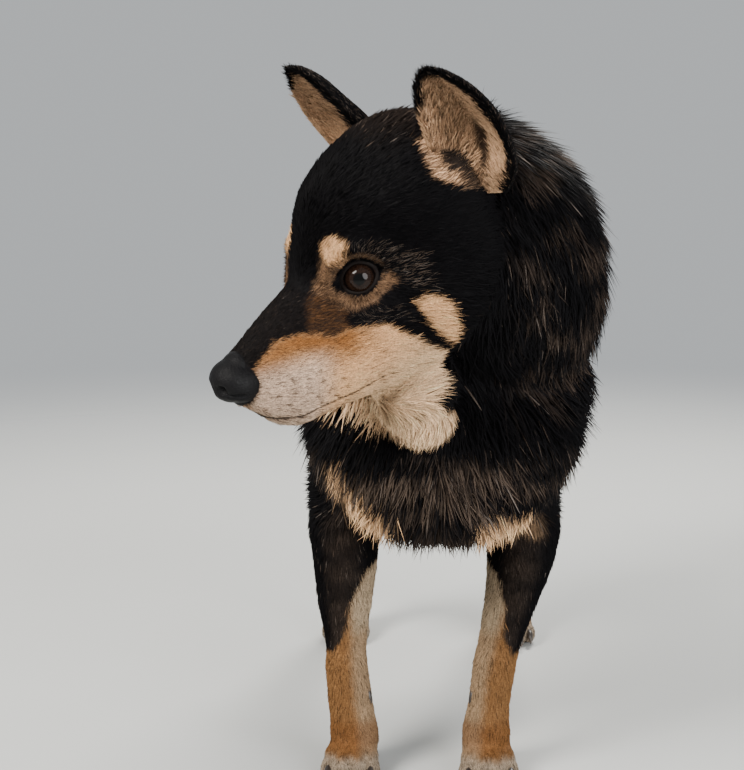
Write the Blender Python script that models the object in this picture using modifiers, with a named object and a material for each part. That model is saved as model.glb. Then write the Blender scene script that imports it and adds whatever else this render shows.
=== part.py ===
"""A shiba inu, life size, standing square with its head turned to its right.

Metres. The dog faces -Y, its left is +X and up is +Z. The masses of flesh and coat are lofts and
ellipsoids fused by a voxel remesh, then parted into named pieces by thin cuts.
"""

import math
import random

import bmesh
import bpy
from mathutils import Matrix, Vector
from mathutils.bvhtree import BVHTree

# Driving dimensions, in metres and degrees
GAP = 0.0003
BODY_VOXEL = 0.0042
HEAD_VOXEL = 0.0026
PAW_VOXEL = 0.0020
NOSE_VOXEL = 0.0012
BODY_TRIANGLES = 3100
HEAD_TRIANGLES = 2150
PAW_TRIANGLES = 340
NOSE_TRIANGLES = 170
HEAD_CENTRE = Vector((-0.049, -0.120, 0.365))
HEAD_YAW = math.radians(55.0)
HEAD_PITCH = math.radians(24.3)
HEAD_ROLL = math.radians(3.7)
HIND_MIDDLE = 0.005
WRIST_HEIGHT = 0.034
KNEE_HEIGHT = 0.100
STIFLE_HEIGHT = 0.150
MM = 0.001

BLACK_COAT = (0.018, 0.017, 0.019)
TAN_COAT = (0.48, 0.27, 0.12)
CREAM_COAT = (0.62, 0.53, 0.42)
NOSE_LEATHER = (0.012, 0.012, 0.014)
EYE_BROWN = (0.03, 0.014, 0.008)
CLAW_HORN = (0.03, 0.026, 0.024)
COAT_ROUGHNESS = 0.8

# The trunk: place along Y, offset in X, half width, top, bottom, narrowing upwards
TORSO = [
    (-0.078, 0.014, 0.020, 0.262, 0.222, 0.0),
    (-0.072, 0.014, 0.052, 0.292, 0.196, 0.0),
    (-0.055, 0.015, 0.081, 0.318, 0.179, 0.0),
    (-0.020, 0.016, 0.098, 0.345, 0.171, 0.02),
    (0.030, 0.016, 0.102, 0.363, 0.170, 0.05),
    (0.090, 0.015, 0.095, 0.357, 0.175, 0.05),
    (0.150, 0.014, 0.086, 0.350, 0.187, 0.05),
    (0.205, 0.013, 0.078, 0.347, 0.203, 0.02),
    (0.255, 0.012, 0.074, 0.346, 0.222, 0.0),
    (0.295, 0.012, 0.066, 0.338, 0.240, 0.0),
    (0.322, 0.012, 0.046, 0.318, 0.258, 0.0),
    (0.332, 0.012, 0.016, 0.298, 0.276, 0.0),
]
# Limbs: X, Y, Z, half width, half depth
NECK = [
    (0.016, 0.060, 0.275, 0.072, 0.060),
    (0.023, 0.030, 0.305, 0.095, 0.072),
    (0.034, -0.010, 0.345, 0.096, 0.080),
    (0.036, -0.042, 0.383, 0.087, 0.080),
    (0.021, -0.073, 0.410, 0.069, 0.068),
    (0.002, -0.092, 0.423, 0.042, 0.045),
]
FORELEG_LEFT = [
    (0.060, 0.035, 0.275, 0.026, 0.040),
    (0.070, 0.030, 0.220, 0.032, 0.044),
    (0.073, 0.024, 0.180, 0.028, 0.036),
    (0.071, 0.018, 0.152, 0.025, 0.029),
    (0.064, 0.012, 0.120, 0.0195, 0.022),
    (0.057, 0.008, 0.093, 0.0165, 0.0185),
    (0.0530, 0.004, 0.074, 0.0165, 0.0185),
    (0.0500, 0.001, 0.052, 0.0160, 0.0165),
    (0.0480, -0.002, 0.034, 0.0175, 0.0175),
    (0.0475, -0.004, 0.020, 0.0175, 0.0175),
]
FORELEG_RIGHT = [
    (-0.040, 0.035, 0.275, 0.026, 0.040),
    (-0.052, 0.030, 0.220, 0.030, 0.044),
    (-0.054, 0.024, 0.180, 0.027, 0.036),
    (-0.0530, 0.018, 0.152, 0.0245, 0.029),
    (-0.0530, 0.012, 0.120, 0.0205, 0.022),
    (-0.0520, 0.008, 0.093, 0.0160, 0.0185),
    (-0.0515, 0.004, 0.074, 0.0165, 0.0185),
    (-0.0490, 0.001, 0.052, 0.0170, 0.0170),
    (-0.0465, -0.002, 0.034, 0.0175, 0.0175),
    (-0.0450, -0.004, 0.020, 0.0175, 0.0175),
]
HIND_LEG = [
    (0.043, 0.268, 0.300, 0.030, 0.050),
    (0.054, 0.262, 0.262, 0.034, 0.066),
    (0.061, 0.250, 0.220, 0.032, 0.064),
    (0.066, 0.240, 0.180, 0.028, 0.050),
    (0.069, 0.250, 0.150, 0.0225, 0.036),
    (0.071, 0.282, 0.122, 0.0180, 0.0255),
    (0.072, 0.318, 0.100, 0.0145, 0.0215),
    (0.073, 0.334, 0.078, 0.0140, 0.0175),
    (0.074, 0.333, 0.050, 0.0145, 0.0160),
    (0.075, 0.328, 0.034, 0.0165, 0.0175),
    (0.075, 0.325, 0.020, 0.0165, 0.0175),
]
TAIL = [
    (0.012, 0.285, 0.318, 0.022, 0.022),
    (0.012, 0.318, 0.340, 0.024, 0.024),
    (0.013, 0.344, 0.372, 0.027, 0.028),
    (0.017, 0.340, 0.408, 0.030, 0.031),
    (0.025, 0.310, 0.432, 0.031, 0.032),
    (0.036, 0.272, 0.434, 0.029, 0.030),
    (0.048, 0.240, 0.416, 0.024, 0.025),
    (0.056, 0.222, 0.394, 0.016, 0.017),
    (0.059, 0.214, 0.378, 0.006, 0.006),
]
# The head, in millimetres forward of the eyes, sideways and up: place, floor of the section,
# then jaw, cheek, orbit and temple as sideways and up, and its top
HEAD_SECTIONS = [
    (99, -33, (5, -32), (7, -29), (7, -25), (6, -20), -16),
    (94, -40, (9, -38), (12, -34), (11.5, -26), (10, -18), -12),
    (87, -50, (13, -46), (17.5, -39), (16, -27), (12.5, -14), -8),
    (79, -61, (16, -53), (21.5, -42), (19, -26), (14, -11.5), -5),
    (68, -69, (20, -59), (26, -43), (22.5, -24), (15.5, -8), -0.5),
    (55, -72, (22, -61), (29, -43), (24.5, -20), (16.5, -4), 5),
    (42, -73, (25, -62), (32.5, -42), (26, -16), (17.5, 0), 9.5),
    (30, -75, (29, -63), (36, -40), (26.5, -10), (18.5, 6), 14),
    (20, -77, (32, -63), (39, -38), (26, -3), (23.5, 16), 32),
    (8, -79, (37, -64), (46, -36), (30, 1), (27, 32), 52),
    (-5, -81, (41, -65), (55, -32), (38, 4), (34, 43), 63),
    (-22, -82, (46, -64), (66, -28), (55, 10), (44, 48), 72),
    (-42, -82, (49, -62), (73, -24), (66, 14), (51, 52), 77),
    (-62, -80, (49, -58), (76, -18), (70, 18), (53, 53), 79),
    (-82, -74, (46, -51), (72, -12), (67, 18), (52, 52), 75),
    (-100, -63, (38, -43), (60, -8), (57, 16), (46, 49), 65),
    (-114, -48, (27, -32), (42, -4), (40, 14), (32, 37), 49),
    (-122, -24, (12, -16), (18, -2), (18, 8), (14, 20), 26),
]
# The full throat behind the jaw: its middle and radii, in millimetres
THROAT = ((-14, 16, -95), (32, 32, 35))
# Where the head parts from the neck, and the jaw from the head: millimetres forward and up
HEAD_REGION = [(-112, 150), (-108, 90), (-32, -87), (130, -87), (130, 150)]
LIP_LINE = [
    (112, -36),
    (95, -41),
    (90, -47),
    (84, -53),
    (77, -56.5),
    (67, -58.5),
    (50, -58.5),
    (33, -59.5),
    (15, -57),
]
LIP_PARTING = 0.9
JAW_FLOOR = -100

# The eye, in millimetres forward, sideways and up from the midpoint between the eyes
EYE_FRONT = Vector((3.2, 29.5, 5.3))
EYE_GAZE = Vector((0.55, 0.78, 0.26)).normalized()
EYE_CORNERS = Vector((-24, 15, 3.0)).normalized()
EYE_RADIUS = 12.0
EYE_DEPTH = 10.4
LID_THICKNESS = 1.8
LID_OPENING = (11.6, 6.4, 5.2)

# The ear: height above its tip's level, sideways offset, half width, depth of the cup and how far
# the cup is filled
EAR_TIPS = {1: Vector((68, 64, 109)), -1: Vector((-68, 56, 106))}
EAR_FACINGS = {1: Vector((0.38, -0.92, 0)), -1: Vector((-0.08, -1, 0))}
EAR_LEANS = {1: Vector((0.12, -0.18, 1)), -1: Vector((-0.34, -0.26, 1))}
EAR_STATIONS = [
    (-86, 3, 17, 14, 1.00),
    (-74, 4, 25, 18, 0.94),
    (-62, 5, 28, 19, 0.46),
    (-47, 6, 28, 18, 0.22),
    (-29, 6, 26.5, 15, 0.18),
    (-13, 4, 21, 12, 0.20),
    (-2, 2, 13, 8, 0.28),
    (3, 1, 7.5, 4.5, 0.5),
    (5.5, 1, 2.5, 2, 1.0),
]
EAR_WALL = 3.4

# Paws, in millimetres from the point under the wrist: each toe's place, and the claw as reach
# forwards, drop, half width and half depth
TOES = [(-14.8, -21), (-5.3, -30), (5.3, -30), (14.8, -21)]
CLAW_HEIGHT = 11
CLAW_ARC = [(0, 0, 2.2, 2.6), (5, 0.6, 2.4, 2.9), (9, 3.0, 1.9, 2.3), (11.8, 7.2, 0.5, 0.6)]
DEWCLAW_ROOTS = {1: Vector((0.0385, -0.001, 0.058)), -1: Vector((-0.0365, -0.001, 0.058))}
DEWCLAW_TURN = 30
DEWCLAW_DROOP = 62

# Sections cut across the body, as outlines along Y and Z
NECK_REGION = [(-0.30, 0.255), (-0.085, 0.255), (0.115, 0.385), (0.115, 0.60), (-0.30, 0.60)]
TAIL_REGION = [(0.17, 0.359), (0.40, 0.333), (0.40, 0.50), (0.17, 0.50)]
SHOULDER_REGION = [
    (-0.035, -0.01),
    (0.075, -0.01),
    (0.085, 0.20),
    (0.06, 0.245),
    (0.0, 0.235),
    (-0.03, 0.19),
]
HIP_REGION = [
    (0.195, 0.09),
    (0.25, -0.01),
    (0.375, -0.01),
    (0.375, 0.18),
    (0.325, 0.30),
    (0.27, 0.312),
    (0.215, 0.285),
    (0.185, 0.21),
]
LOIN_START = 0.135
TIP_START = 0.262
CURL_START = 0.404


# Locks of the longer coat: length, half width, half thickness and how far the tips stand off
RUFF_LOCK = (0.056, 0.0155, 0.0030, 0.0105)
FRINGE_LOCK = (0.052, 0.0140, 0.0028, 0.0095)
BREECH_LOCK = (0.052, 0.0145, 0.0028, 0.0100)
BRUSH_LOCK = (0.050, 0.0028, 0.0130)
BRUSH_SPREAD = 0.48
# Rings of the brush: place among the tail's stations and how many locks go round
BRUSH_RINGS = [(1.3, 4), (1.9, 4), (3.05, 5), (3.7, 5), (4.3, 4), (5.45, 4), (6.2, 4), (6.9, 3)]
LOCK_SHAPE = [(0.0, 0.72, 1.0), (0.34, 1.0, 1.1), (0.70, 0.74, 0.8)]
LOCK_RISE = [-1.0, 0.40, 0.76]
ROOT_DEPTH = 0.009
LOCK_CLEARANCE = 0.0035
RUFF_AXIS = (Vector((0.014, 0.062, 0.285)), Vector((0.010, -0.076, 0.416)))
RUFF_LIE = Vector((0.03, 0.60, -0.80))
CHEST_LIE = Vector((0.0, 0.06, -1.0))
BREECH_LIE = Vector((0.0, 0.30, -0.95))
# Where the core lies under the tips of the locks: centre, radii and depth
CORE_ZONES = [
    (Vector((0.020, -0.005, 0.335)), Vector((0.17, 0.095, 0.095)), 0.0065),
    (Vector((0.014, -0.060, 0.230)), Vector((0.085, 0.045, 0.055)), 0.0055),
    (Vector((0.065, 0.315, 0.215)), Vector((0.045, 0.050, 0.070)), 0.0060),
    (Vector((-0.055, 0.315, 0.215)), Vector((0.045, 0.050, 0.070)), 0.0060),
]
TAIL_CORE = 0.58
RANDOM_SEED = 11


def head_matrix():
    """Head space has its origin between the eyes, X to the left, Y backwards and Z up."""
    turn = Matrix.Rotation(-HEAD_YAW, 4, "Z")
    nod = Matrix.Rotation(HEAD_PITCH, 4, "X")
    tilt = Matrix.Rotation(HEAD_ROLL, 4, "Y")
    return Matrix.Translation(HEAD_CENTRE) @ turn @ nod @ tilt


HEAD = head_matrix()
HEAD_TO_SPACE = HEAD.inverted()


def clear_scene():
    for obj in list(bpy.data.objects):
        bpy.data.objects.remove(obj)
    for group in list(bpy.data.collections):
        bpy.data.collections.remove(group)


def add_collection(name):
    group = bpy.data.collections.new(name)
    bpy.context.scene.collection.children.link(group)
    return group


def finish_colour(obj, name, colour, roughness):
    """Gives a node its own Principled material."""
    material = bpy.data.materials.new(name)
    material.use_nodes = True
    shader = material.node_tree.nodes["Principled BSDF"]
    shader.inputs["Base Color"].default_value = (*colour, 1.0)
    shader.inputs["Roughness"].default_value = roughness
    obj.data.materials.clear()
    obj.data.materials.append(material)


def object_from(bm, name, group):
    """Closes a bmesh into an object of the group, with its faces pointing out."""
    bmesh.ops.recalc_face_normals(bm, faces=bm.faces)
    mesh = bpy.data.meshes.new(name)
    bm.to_mesh(mesh)
    bm.free()
    obj = bpy.data.objects.new(name, mesh)
    group.objects.link(obj)
    return obj


def remove(*objects):
    for obj in objects:
        mesh = obj.data
        bpy.data.objects.remove(obj)
        bpy.data.meshes.remove(mesh)


def copy_of(obj, name, group):
    twin = bpy.data.objects.new(name, obj.data.copy())
    group.objects.link(twin)
    return twin


def bake_modifiers(obj):
    """Turns an object's modifiers into its own mesh."""
    bpy.context.view_layer.update()
    graph = bpy.context.evaluated_depsgraph_get()
    mesh = bpy.data.meshes.new_from_object(obj.evaluated_get(graph))
    old = obj.data
    obj.modifiers.clear()
    obj.data = mesh
    bpy.data.meshes.remove(old)
    return obj


def curve_through(before, start, end, after, t):
    """Catmull-Rom value between start and end."""
    slope = end - before
    bend = 2 * before - 5 * start + 4 * end - after
    twist = 3 * start - before - 3 * end + after
    return 0.5 * (2 * start + slope * t + bend * t**2 + twist * t**3)


def smooth_path(rows, steps, closed=False):
    """Rows of numbers with steps rows for each stretch, on a smooth curve through the given ones."""
    count = len(rows)
    stretches = count if closed else count - 1
    result = []
    for i in range(stretches):
        if closed:
            near = [rows[(i + k - 1) % count] for k in range(4)]
        else:
            near = [rows[min(max(i + k - 1, 0), count - 1)] for k in range(4)]
        for k in range(steps):
            result.append([curve_through(*values, k / steps) for values in zip(*near)])
    if not closed:
        result.append(list(rows[-1]))
    return result


def skin_rings(bm, rings):
    """Joins rings of equally many vertices by quads and closes both ends with a fan."""
    count = len(rings[0])
    for near, far in zip(rings, rings[1:]):
        for i in range(count):
            j = (i + 1) % count
            bm.faces.new((near[i], near[j], far[j], far[i]))
    for ring in (rings[0], rings[-1]):
        centre = sum((v.co for v in ring), Vector()) / count
        pole = bm.verts.new(centre)
        for i in range(count):
            bm.faces.new((ring[i], ring[(i + 1) % count], pole))


def trunk_form(group, sides=28, steps=4):
    """The trunk as a loft of egg-shaped sections along Y."""
    bm = bmesh.new()
    rings = []
    for along, aside, width, top, bottom, narrowing in smooth_path(TORSO, steps):
        middle, half = (top + bottom) / 2, (top - bottom) / 2
        ring = []
        for i in range(sides):
            angle = 2 * math.pi * i / sides
            across, up = math.cos(angle), math.sin(angle)
            point = (aside + width * across * (1 - narrowing * up), along, middle + half * up)
            ring.append(bm.verts.new(point))
        rings.append(ring)
    skin_rings(bm, rings)
    return object_from(bm, "trunk mass", group)


def skull_form(group, steps=4):
    """The head as a loft through sections of floor, jaw, cheek, orbit, temple and top, mirrored."""
    rows = []
    for place, floor, *sides, top in HEAD_SECTIONS:
        rows.append((place, floor, *(value for side in sides for value in side), top))
    bm = bmesh.new()
    rings = []
    for place, floor, *sides, top in smooth_path(rows, 3):
        side = list(zip(sides[::2], sides[1::2]))
        outline = [(0, floor), *side, (0, top), *((-x, z) for x, z in reversed(side))]
        ring = []
        for x, z in smooth_path(outline, steps, closed=True):
            ring.append(bm.verts.new(HEAD @ (Vector((x, -place, z)) * MM)))
        rings.append(ring)
    skin_rings(bm, rings)
    return object_from(bm, "head mass", group)


def limb(name, stations, group, matrix=Matrix.Identity(4), sides=20, steps=4):
    """A loft along a path through rows of X, Y, Z, half width and half depth, square to the path."""
    rows = smooth_path(stations, steps)
    centres = [Vector(row[:3]) for row in rows]
    bm = bmesh.new()
    rings = []
    for i, row in enumerate(rows):
        ahead = (centres[min(i + 1, len(rows) - 1)] - centres[max(i - 1, 0)]).normalized()
        deep = ahead.cross(Vector((1, 0, 0))).normalized()
        wide = deep.cross(ahead).normalized()
        ring = []
        for k in range(sides):
            angle = 2 * math.pi * k / sides
            offset = wide * row[3] * math.cos(angle) + deep * row[4] * math.sin(angle)
            ring.append(bm.verts.new(matrix @ (centres[i] + offset)))
        rings.append(ring)
    skin_rings(bm, rings)
    return object_from(bm, name, group)


def ellipsoid(
    name, centre, radii, group, matrix=Matrix.Identity(4), turn=Matrix.Identity(4), fine=3
):
    bm = bmesh.new()
    bmesh.ops.create_icosphere(bm, subdivisions=fine, radius=1.0)
    place = matrix @ Matrix.Translation(Vector(centre)) @ turn @ Matrix.Diagonal((*radii, 1.0))
    bmesh.ops.transform(bm, matrix=place, verts=bm.verts)
    return object_from(bm, name, group)


def head_ellipsoid(name, place, radii, group, turn=Matrix.Identity(4), fine=3):
    """An ellipsoid given in millimetres forward, sideways and up of head space."""
    forward, left, up = place
    long, wide, high = radii
    centre = Vector((left, -forward, up)) * MM
    return ellipsoid(name, centre, Vector((wide, long, high)) * MM, group, HEAD, turn, fine)


def fuse(name, forms, voxel, rounds, group):
    """Joins closed forms into one skin with a voxel remesh and rounds of smoothing."""
    bm = bmesh.new()
    for form in forms:
        bm.from_mesh(form.data)
    mesh = bpy.data.meshes.new(name)
    bm.to_mesh(mesh)
    bm.free()
    obj = bpy.data.objects.new(name, mesh)
    group.objects.link(obj)
    remesh = obj.modifiers.new("one skin", "REMESH")
    remesh.mode = "VOXEL"
    remesh.voxel_size = voxel
    soften = obj.modifiers.new("soft joins", "SMOOTH")
    soften.factor = 0.5
    soften.iterations = rounds
    return bake_modifiers(obj)


def coarsen(obj, triangles):
    """Thins a mesh to about this many triangles."""
    count = sum(len(face.vertices) - 2 for face in obj.data.polygons)
    if count > triangles:
        thin = obj.modifiers.new("fewer faces", "DECIMATE")
        thin.ratio = triangles / count
        thin.use_collapse_triangulate = True
        bake_modifiers(obj)
    return obj


def block(name, low, high, group):
    """A box between two corners."""
    bm = bmesh.new()
    bmesh.ops.create_cube(bm, size=1.0)
    low, high = Vector(low), Vector(high)
    size = Matrix.Diagonal((*(high - low), 1.0))
    bmesh.ops.transform(bm, matrix=Matrix.Translation((low + high) / 2) @ size, verts=bm.verts)
    return object_from(bm, name, group)


def prism(name, outline, sides, group, matrix=Matrix.Identity(4)):
    """A flat outline of places along Y and Z, extruded along X between the two sides."""
    bm = bmesh.new()
    ends = [[bm.verts.new(matrix @ Vector((x, y, z))) for y, z in outline] for x in sides]
    for end in ends:
        bm.faces.new(end)
    near, far = ends
    for i in range(len(outline)):
        j = (i + 1) % len(outline)
        bm.faces.new((near[i], near[j], far[j], far[i]))
    return object_from(bm, name, group)


def head_prism(name, outline, half, group):
    """A prism across the head from an outline in millimetres forward and up."""
    rows = [(-forward * MM, up * MM) for forward, up in outline]
    return prism(name, rows, (-half * MM, half * MM), group, HEAD)


def widened(region, distance, group):
    """A copy of a flat-sided region with every face moved out by the distance."""
    twin = copy_of(region, region.name + " wider", group)
    bm = bmesh.new()
    bm.from_mesh(twin.data)
    bm.normal_update()
    moves = {}
    for v in bm.verts:
        unlike = []
        for face in v.link_faces:
            if all(face.normal.dot(other) < 0.9999 for other in unlike):
                unlike.append(face.normal.copy())
        moves[v] = Matrix(unlike[:3]).inverted() @ Vector((distance,) * 3)
    for v, move in moves.items():
        v.co += move
    bm.to_mesh(twin.data)
    bm.free()
    return twin


def swollen(obj, distance, group):
    """A copy of a rounded form moved out along its normals by the distance."""
    twin = copy_of(obj, obj.name + " swollen", group)
    swell = twin.modifiers.new("clearance", "DISPLACE")
    swell.strength = distance
    swell.mid_level = 0.0
    return bake_modifiers(twin)


def boolean(obj, tool, operation):
    step = obj.modifiers.new(operation, "BOOLEAN")
    step.operation = operation
    step.object = tool
    step.solver = "EXACT"
    return bake_modifiers(obj)


def largest_piece(obj):
    """Keeps the biggest connected surface of a mesh."""
    bm = bmesh.new()
    bm.from_mesh(obj.data)
    seen, best = set(), []
    for seed in bm.verts:
        if seed in seen:
            continue
        seen.add(seed)
        island, edge = [seed], [seed]
        while edge:
            vert = edge.pop()
            for link in vert.link_edges:
                other = link.other_vert(vert)
                if other not in seen:
                    seen.add(other)
                    island.append(other)
                    edge.append(other)
        if len(island) > len(best):
            best = island
    keep = set(best)
    bmesh.ops.delete(bm, geom=[v for v in bm.verts if v not in keep], context="VERTS")
    bm.to_mesh(obj.data)
    bm.free()
    return obj


def part_off(rest, region, name, parts, tools):
    """Takes the region out of the rest as a piece of its own, leaving the gap between the two."""
    piece = boolean(copy_of(rest, name, parts), region, "INTERSECT")
    wider = widened(region, GAP, tools)
    boolean(rest, wider, "DIFFERENCE")
    remove(wider, region)
    largest_piece(rest)
    return largest_piece(piece)


def mirrored(rows, middle):
    """The same stations on the other side of a plane of X."""
    return [(2 * middle - row[0], *row[1:]) for row in rows]


def tail_core():
    """The tail's stations with the half widths of its core."""
    return [(*row[:3], row[3] * TAIL_CORE, row[4] * TAIL_CORE) for row in TAIL]


def body_forms(group):
    return [
        trunk_form(group),
        limb("neck mass", NECK, group),
        limb("left foreleg mass", FORELEG_LEFT, group),
        limb("right foreleg mass", FORELEG_RIGHT, group),
        limb("left hind mass", HIND_LEG, group),
        limb("right hind mass", mirrored(HIND_LEG, HIND_MIDDLE), group),
        limb("tail mass", tail_core(), group),
    ]


def sink_core(obj):
    """Moves the skin in where locks stand on it, fading to nothing round each zone."""
    bm = bmesh.new()
    bm.from_mesh(obj.data)
    bm.normal_update()
    for v in bm.verts:
        depth = 0.0
        for centre, radii, most in CORE_ZONES:
            away = v.co - centre
            reach = math.sqrt(sum((a / r) ** 2 for a, r in zip(away, radii)))
            share = min(max((1.15 - reach) / 0.3, 0.0), 1.0)
            depth = max(depth, most * share * share * (3 - 2 * share))
        v.co -= v.normal * depth
    bm.to_mesh(obj.data)
    bm.free()


def inside(outline, y, z):
    """Whether a place along Y and Z lies in an outline."""
    count = 0
    for (y1, z1), (y2, z2) in zip(outline, outline[1:] + outline[:1]):
        if (z1 > z) != (z2 > z) and y < y1 + (z - z1) * (y2 - y1) / (z2 - z1):
            count += 1
    return count % 2 == 1


def node_at(place):
    """The name of the node that the cuts give this place to."""
    x, y, z = place
    on_head = HEAD_TO_SPACE @ place / MM
    if inside(HEAD_REGION, -on_head.y, on_head.z):
        return "head"
    if inside(TAIL_REGION, y, z):
        return "tail_tip" if y < TIP_START else "tail_curl" if z > CURL_START else "tail_base"
    if inside(SHOULDER_REGION, y, z) and not -0.020 < x < 0.036:
        return "shoulder"
    if inside(HIP_REGION, y, z) and abs(x - HIND_MIDDLE) > 0.030:
        return "hind_leg" if z < STIFLE_HEIGHT else "thigh"
    if inside(NECK_REGION, y, z):
        return "neck"
    return "loin" if y > LOIN_START else "chest"


def in_one_node(points):
    """Whether a lock's line keeps clear of every cut."""
    near = [Vector((0, 0, 0))]
    for axis in range(3):
        for sign in (-1, 1):
            near.append(Vector([sign * LOCK_CLEARANCE if axis == i else 0 for i in range(3)]))
    names = {node_at(point + shift) for point in points for shift in near}
    return len(names) == 1


def lock_line(surface, root, lie, length, depth):
    """The centres and normals of one lock: from a sunk root along the surface to a raised tip."""
    place, normal, _, _ = surface.find_nearest(root)
    points, normals = [], []
    walked = 0.0
    for (along, _, _), rise in zip([*LOCK_SHAPE, (1.0, 0, 0)], [*LOCK_RISE, 1.0]):
        ahead = lie - normal * lie.dot(normal)
        place = place + ahead.normalized() * (along - walked) * length
        place, normal, _, _ = surface.find_nearest(place)
        walked = along
        lift = depth * rise if rise > 0 else -ROOT_DEPTH
        points.append(place + normal * lift)
        normals.append(normal.copy())
    return points, normals


def add_lock(points, normals, half, thick, group):
    """A flat, tapered lock with a four-sided section, closed to a point at its tip."""
    bm = bmesh.new()
    rings = []
    for i, (_, wide, deep) in enumerate(LOCK_SHAPE):
        ahead = (points[i + 1] - points[max(i - 1, 0)]).normalized()
        across = ahead.cross(normals[i]).normalized()
        up = across.cross(ahead)
        side, face = across * half * wide, up * thick * deep
        offsets = (side, face, -side, -face)
        rings.append([bm.verts.new(points[i] + offset) for offset in offsets])
    tip = bm.verts.new(points[-1])
    bm.faces.new(rings[0])
    for near, far in zip(rings, rings[1:]):
        for k in range(4):
            bm.faces.new((near[k], near[(k + 1) % 4], far[(k + 1) % 4], far[k]))
    for k in range(4):
        bm.faces.new((rings[-1][k], rings[-1][(k + 1) % 4], tip))
    bmesh.ops.triangulate(bm, faces=bm.faces)
    object_from(bm, "lock", group)


def plant(surface, root, lie, sizes, group, draw):
    """Sets one lock at a root, turned and sized a little at random, shorter where a cut is near."""
    length, half, thick, depth = sizes
    turned = lie.normalized()
    turned = Matrix.Rotation(draw.uniform(-0.2, 0.2), 3, surface.find_nearest(root)[1]) @ turned
    stretch, spread, stand = (draw.uniform(0.88, 1.12) for _ in range(3))
    for share in (1.0, 0.8, 0.62):
        points, normals = lock_line(surface, root, turned, length * stretch * share, depth * stand)
        if in_one_node(points):
            add_lock(points, normals, half * spread, thick, group)
            return


def outermost(surface, centre, direction):
    """The place where a ray from inside leaves the body."""
    return surface.ray_cast(centre, direction.normalized())[0]


def ruff_locks(surface, group, draw, rows=5, around=12):
    """The ruff: rows round the neck, lying back and down, and straight down on its front."""
    low, high = RUFF_AXIS
    axis = (high - low).normalized()
    left = Vector((1, 0, 0))
    back = axis.cross(left).normalized()
    for i in range(rows):
        centre = high.lerp(low, i / (rows - 1))
        for k in range(around):
            angle = 2 * math.pi * (k + 0.5 * (i % 2) + draw.uniform(-0.12, 0.12)) / around
            root = outermost(surface, centre, left * math.cos(angle) + back * math.sin(angle))
            if root is None or node_at(root) != "neck":
                continue
            front = min(max((-0.035 - root.y) / 0.04, 0.0), 1.0)
            plant(surface, root, RUFF_LIE.lerp(CHEST_LIE, front), RUFF_LOCK, group, draw)


def fringe_locks(surface, group, draw, rows=3, across=5):
    """The chest's fringe: rows across its front, hanging down."""
    for i in range(rows):
        for k in range(across):
            share = (k + 0.5 + 0.5 * (i % 2 - 0.5) + draw.uniform(-0.1, 0.1)) / across
            origin = Vector((-0.062 + 0.150 * share, -0.3, 0.251 - 0.024 * i))
            root = surface.ray_cast(origin, Vector((0, 1, 0)))[0]
            if root is not None and root.y < 0.0:
                plant(surface, root, CHEST_LIE, FRINGE_LOCK, group, draw)


def breech_locks(surface, group, draw, rows=3, across=3):
    """The breeches: rows down the back of each thigh."""
    for side in (-1, 1):
        for i in range(rows):
            for k in range(across):
                angle = math.radians(-12 + 88 * (k + 0.4 * (i % 2)) / (across - 1))
                centre = Vector((HIND_MIDDLE + side * 0.052, 0.275, 0.270 - 0.029 * i))
                outward = Vector((side * math.sin(angle), math.cos(angle), 0))
                root = outermost(surface, centre, outward)
                if root is not None:
                    plant(surface, root, BREECH_LIE, BREECH_LOCK, group, draw)


def brush_locks(surface, group, draw):
    """The tail's brush: rings of locks along its path, lying towards its tip."""
    steps = 20
    path = smooth_path(TAIL, steps)
    length, thick, depth = BRUSH_LOCK
    for ring, (station, around) in enumerate(BRUSH_RINGS):
        i = round(station * steps)
        centre, radius = Vector(path[i][:3]), path[i][3]
        ahead = (Vector(path[i + 1][:3]) - Vector(path[i - 1][:3])).normalized()
        side = ahead.cross(Vector((1, 0, 0))).normalized()
        sizes = (length, radius * BRUSH_SPREAD, thick, depth)
        for k in range(around):
            angle = 2 * math.pi * (k + 0.5 * (ring % 2) + draw.uniform(-0.1, 0.1)) / around
            outward = side * math.cos(angle) + side.cross(ahead) * math.sin(angle)
            root = outermost(surface, centre, outward)
            if root is not None and (root - centre).length < radius:
                plant(surface, root, ahead, sizes, group, draw)


def grow_locks(obj):
    """Fuses all the locks of the longer coat to the body in one union."""
    draw = random.Random(RANDOM_SEED)
    group = add_collection("locks")
    bm = bmesh.new()
    bm.from_mesh(obj.data)
    surface = BVHTree.FromBMesh(bm)
    bm.free()
    for grow in (ruff_locks, fringe_locks, breech_locks, brush_locks):
        grow(surface, group, draw)
    step = obj.modifiers.new("locks", "BOOLEAN")
    step.operation = "UNION"
    step.operand_type = "COLLECTION"
    step.collection = group
    step.solver = "EXACT"
    bake_modifiers(obj)
    largest_piece(obj)
    remove(*group.objects)
    bpy.data.collections.remove(group)


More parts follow.
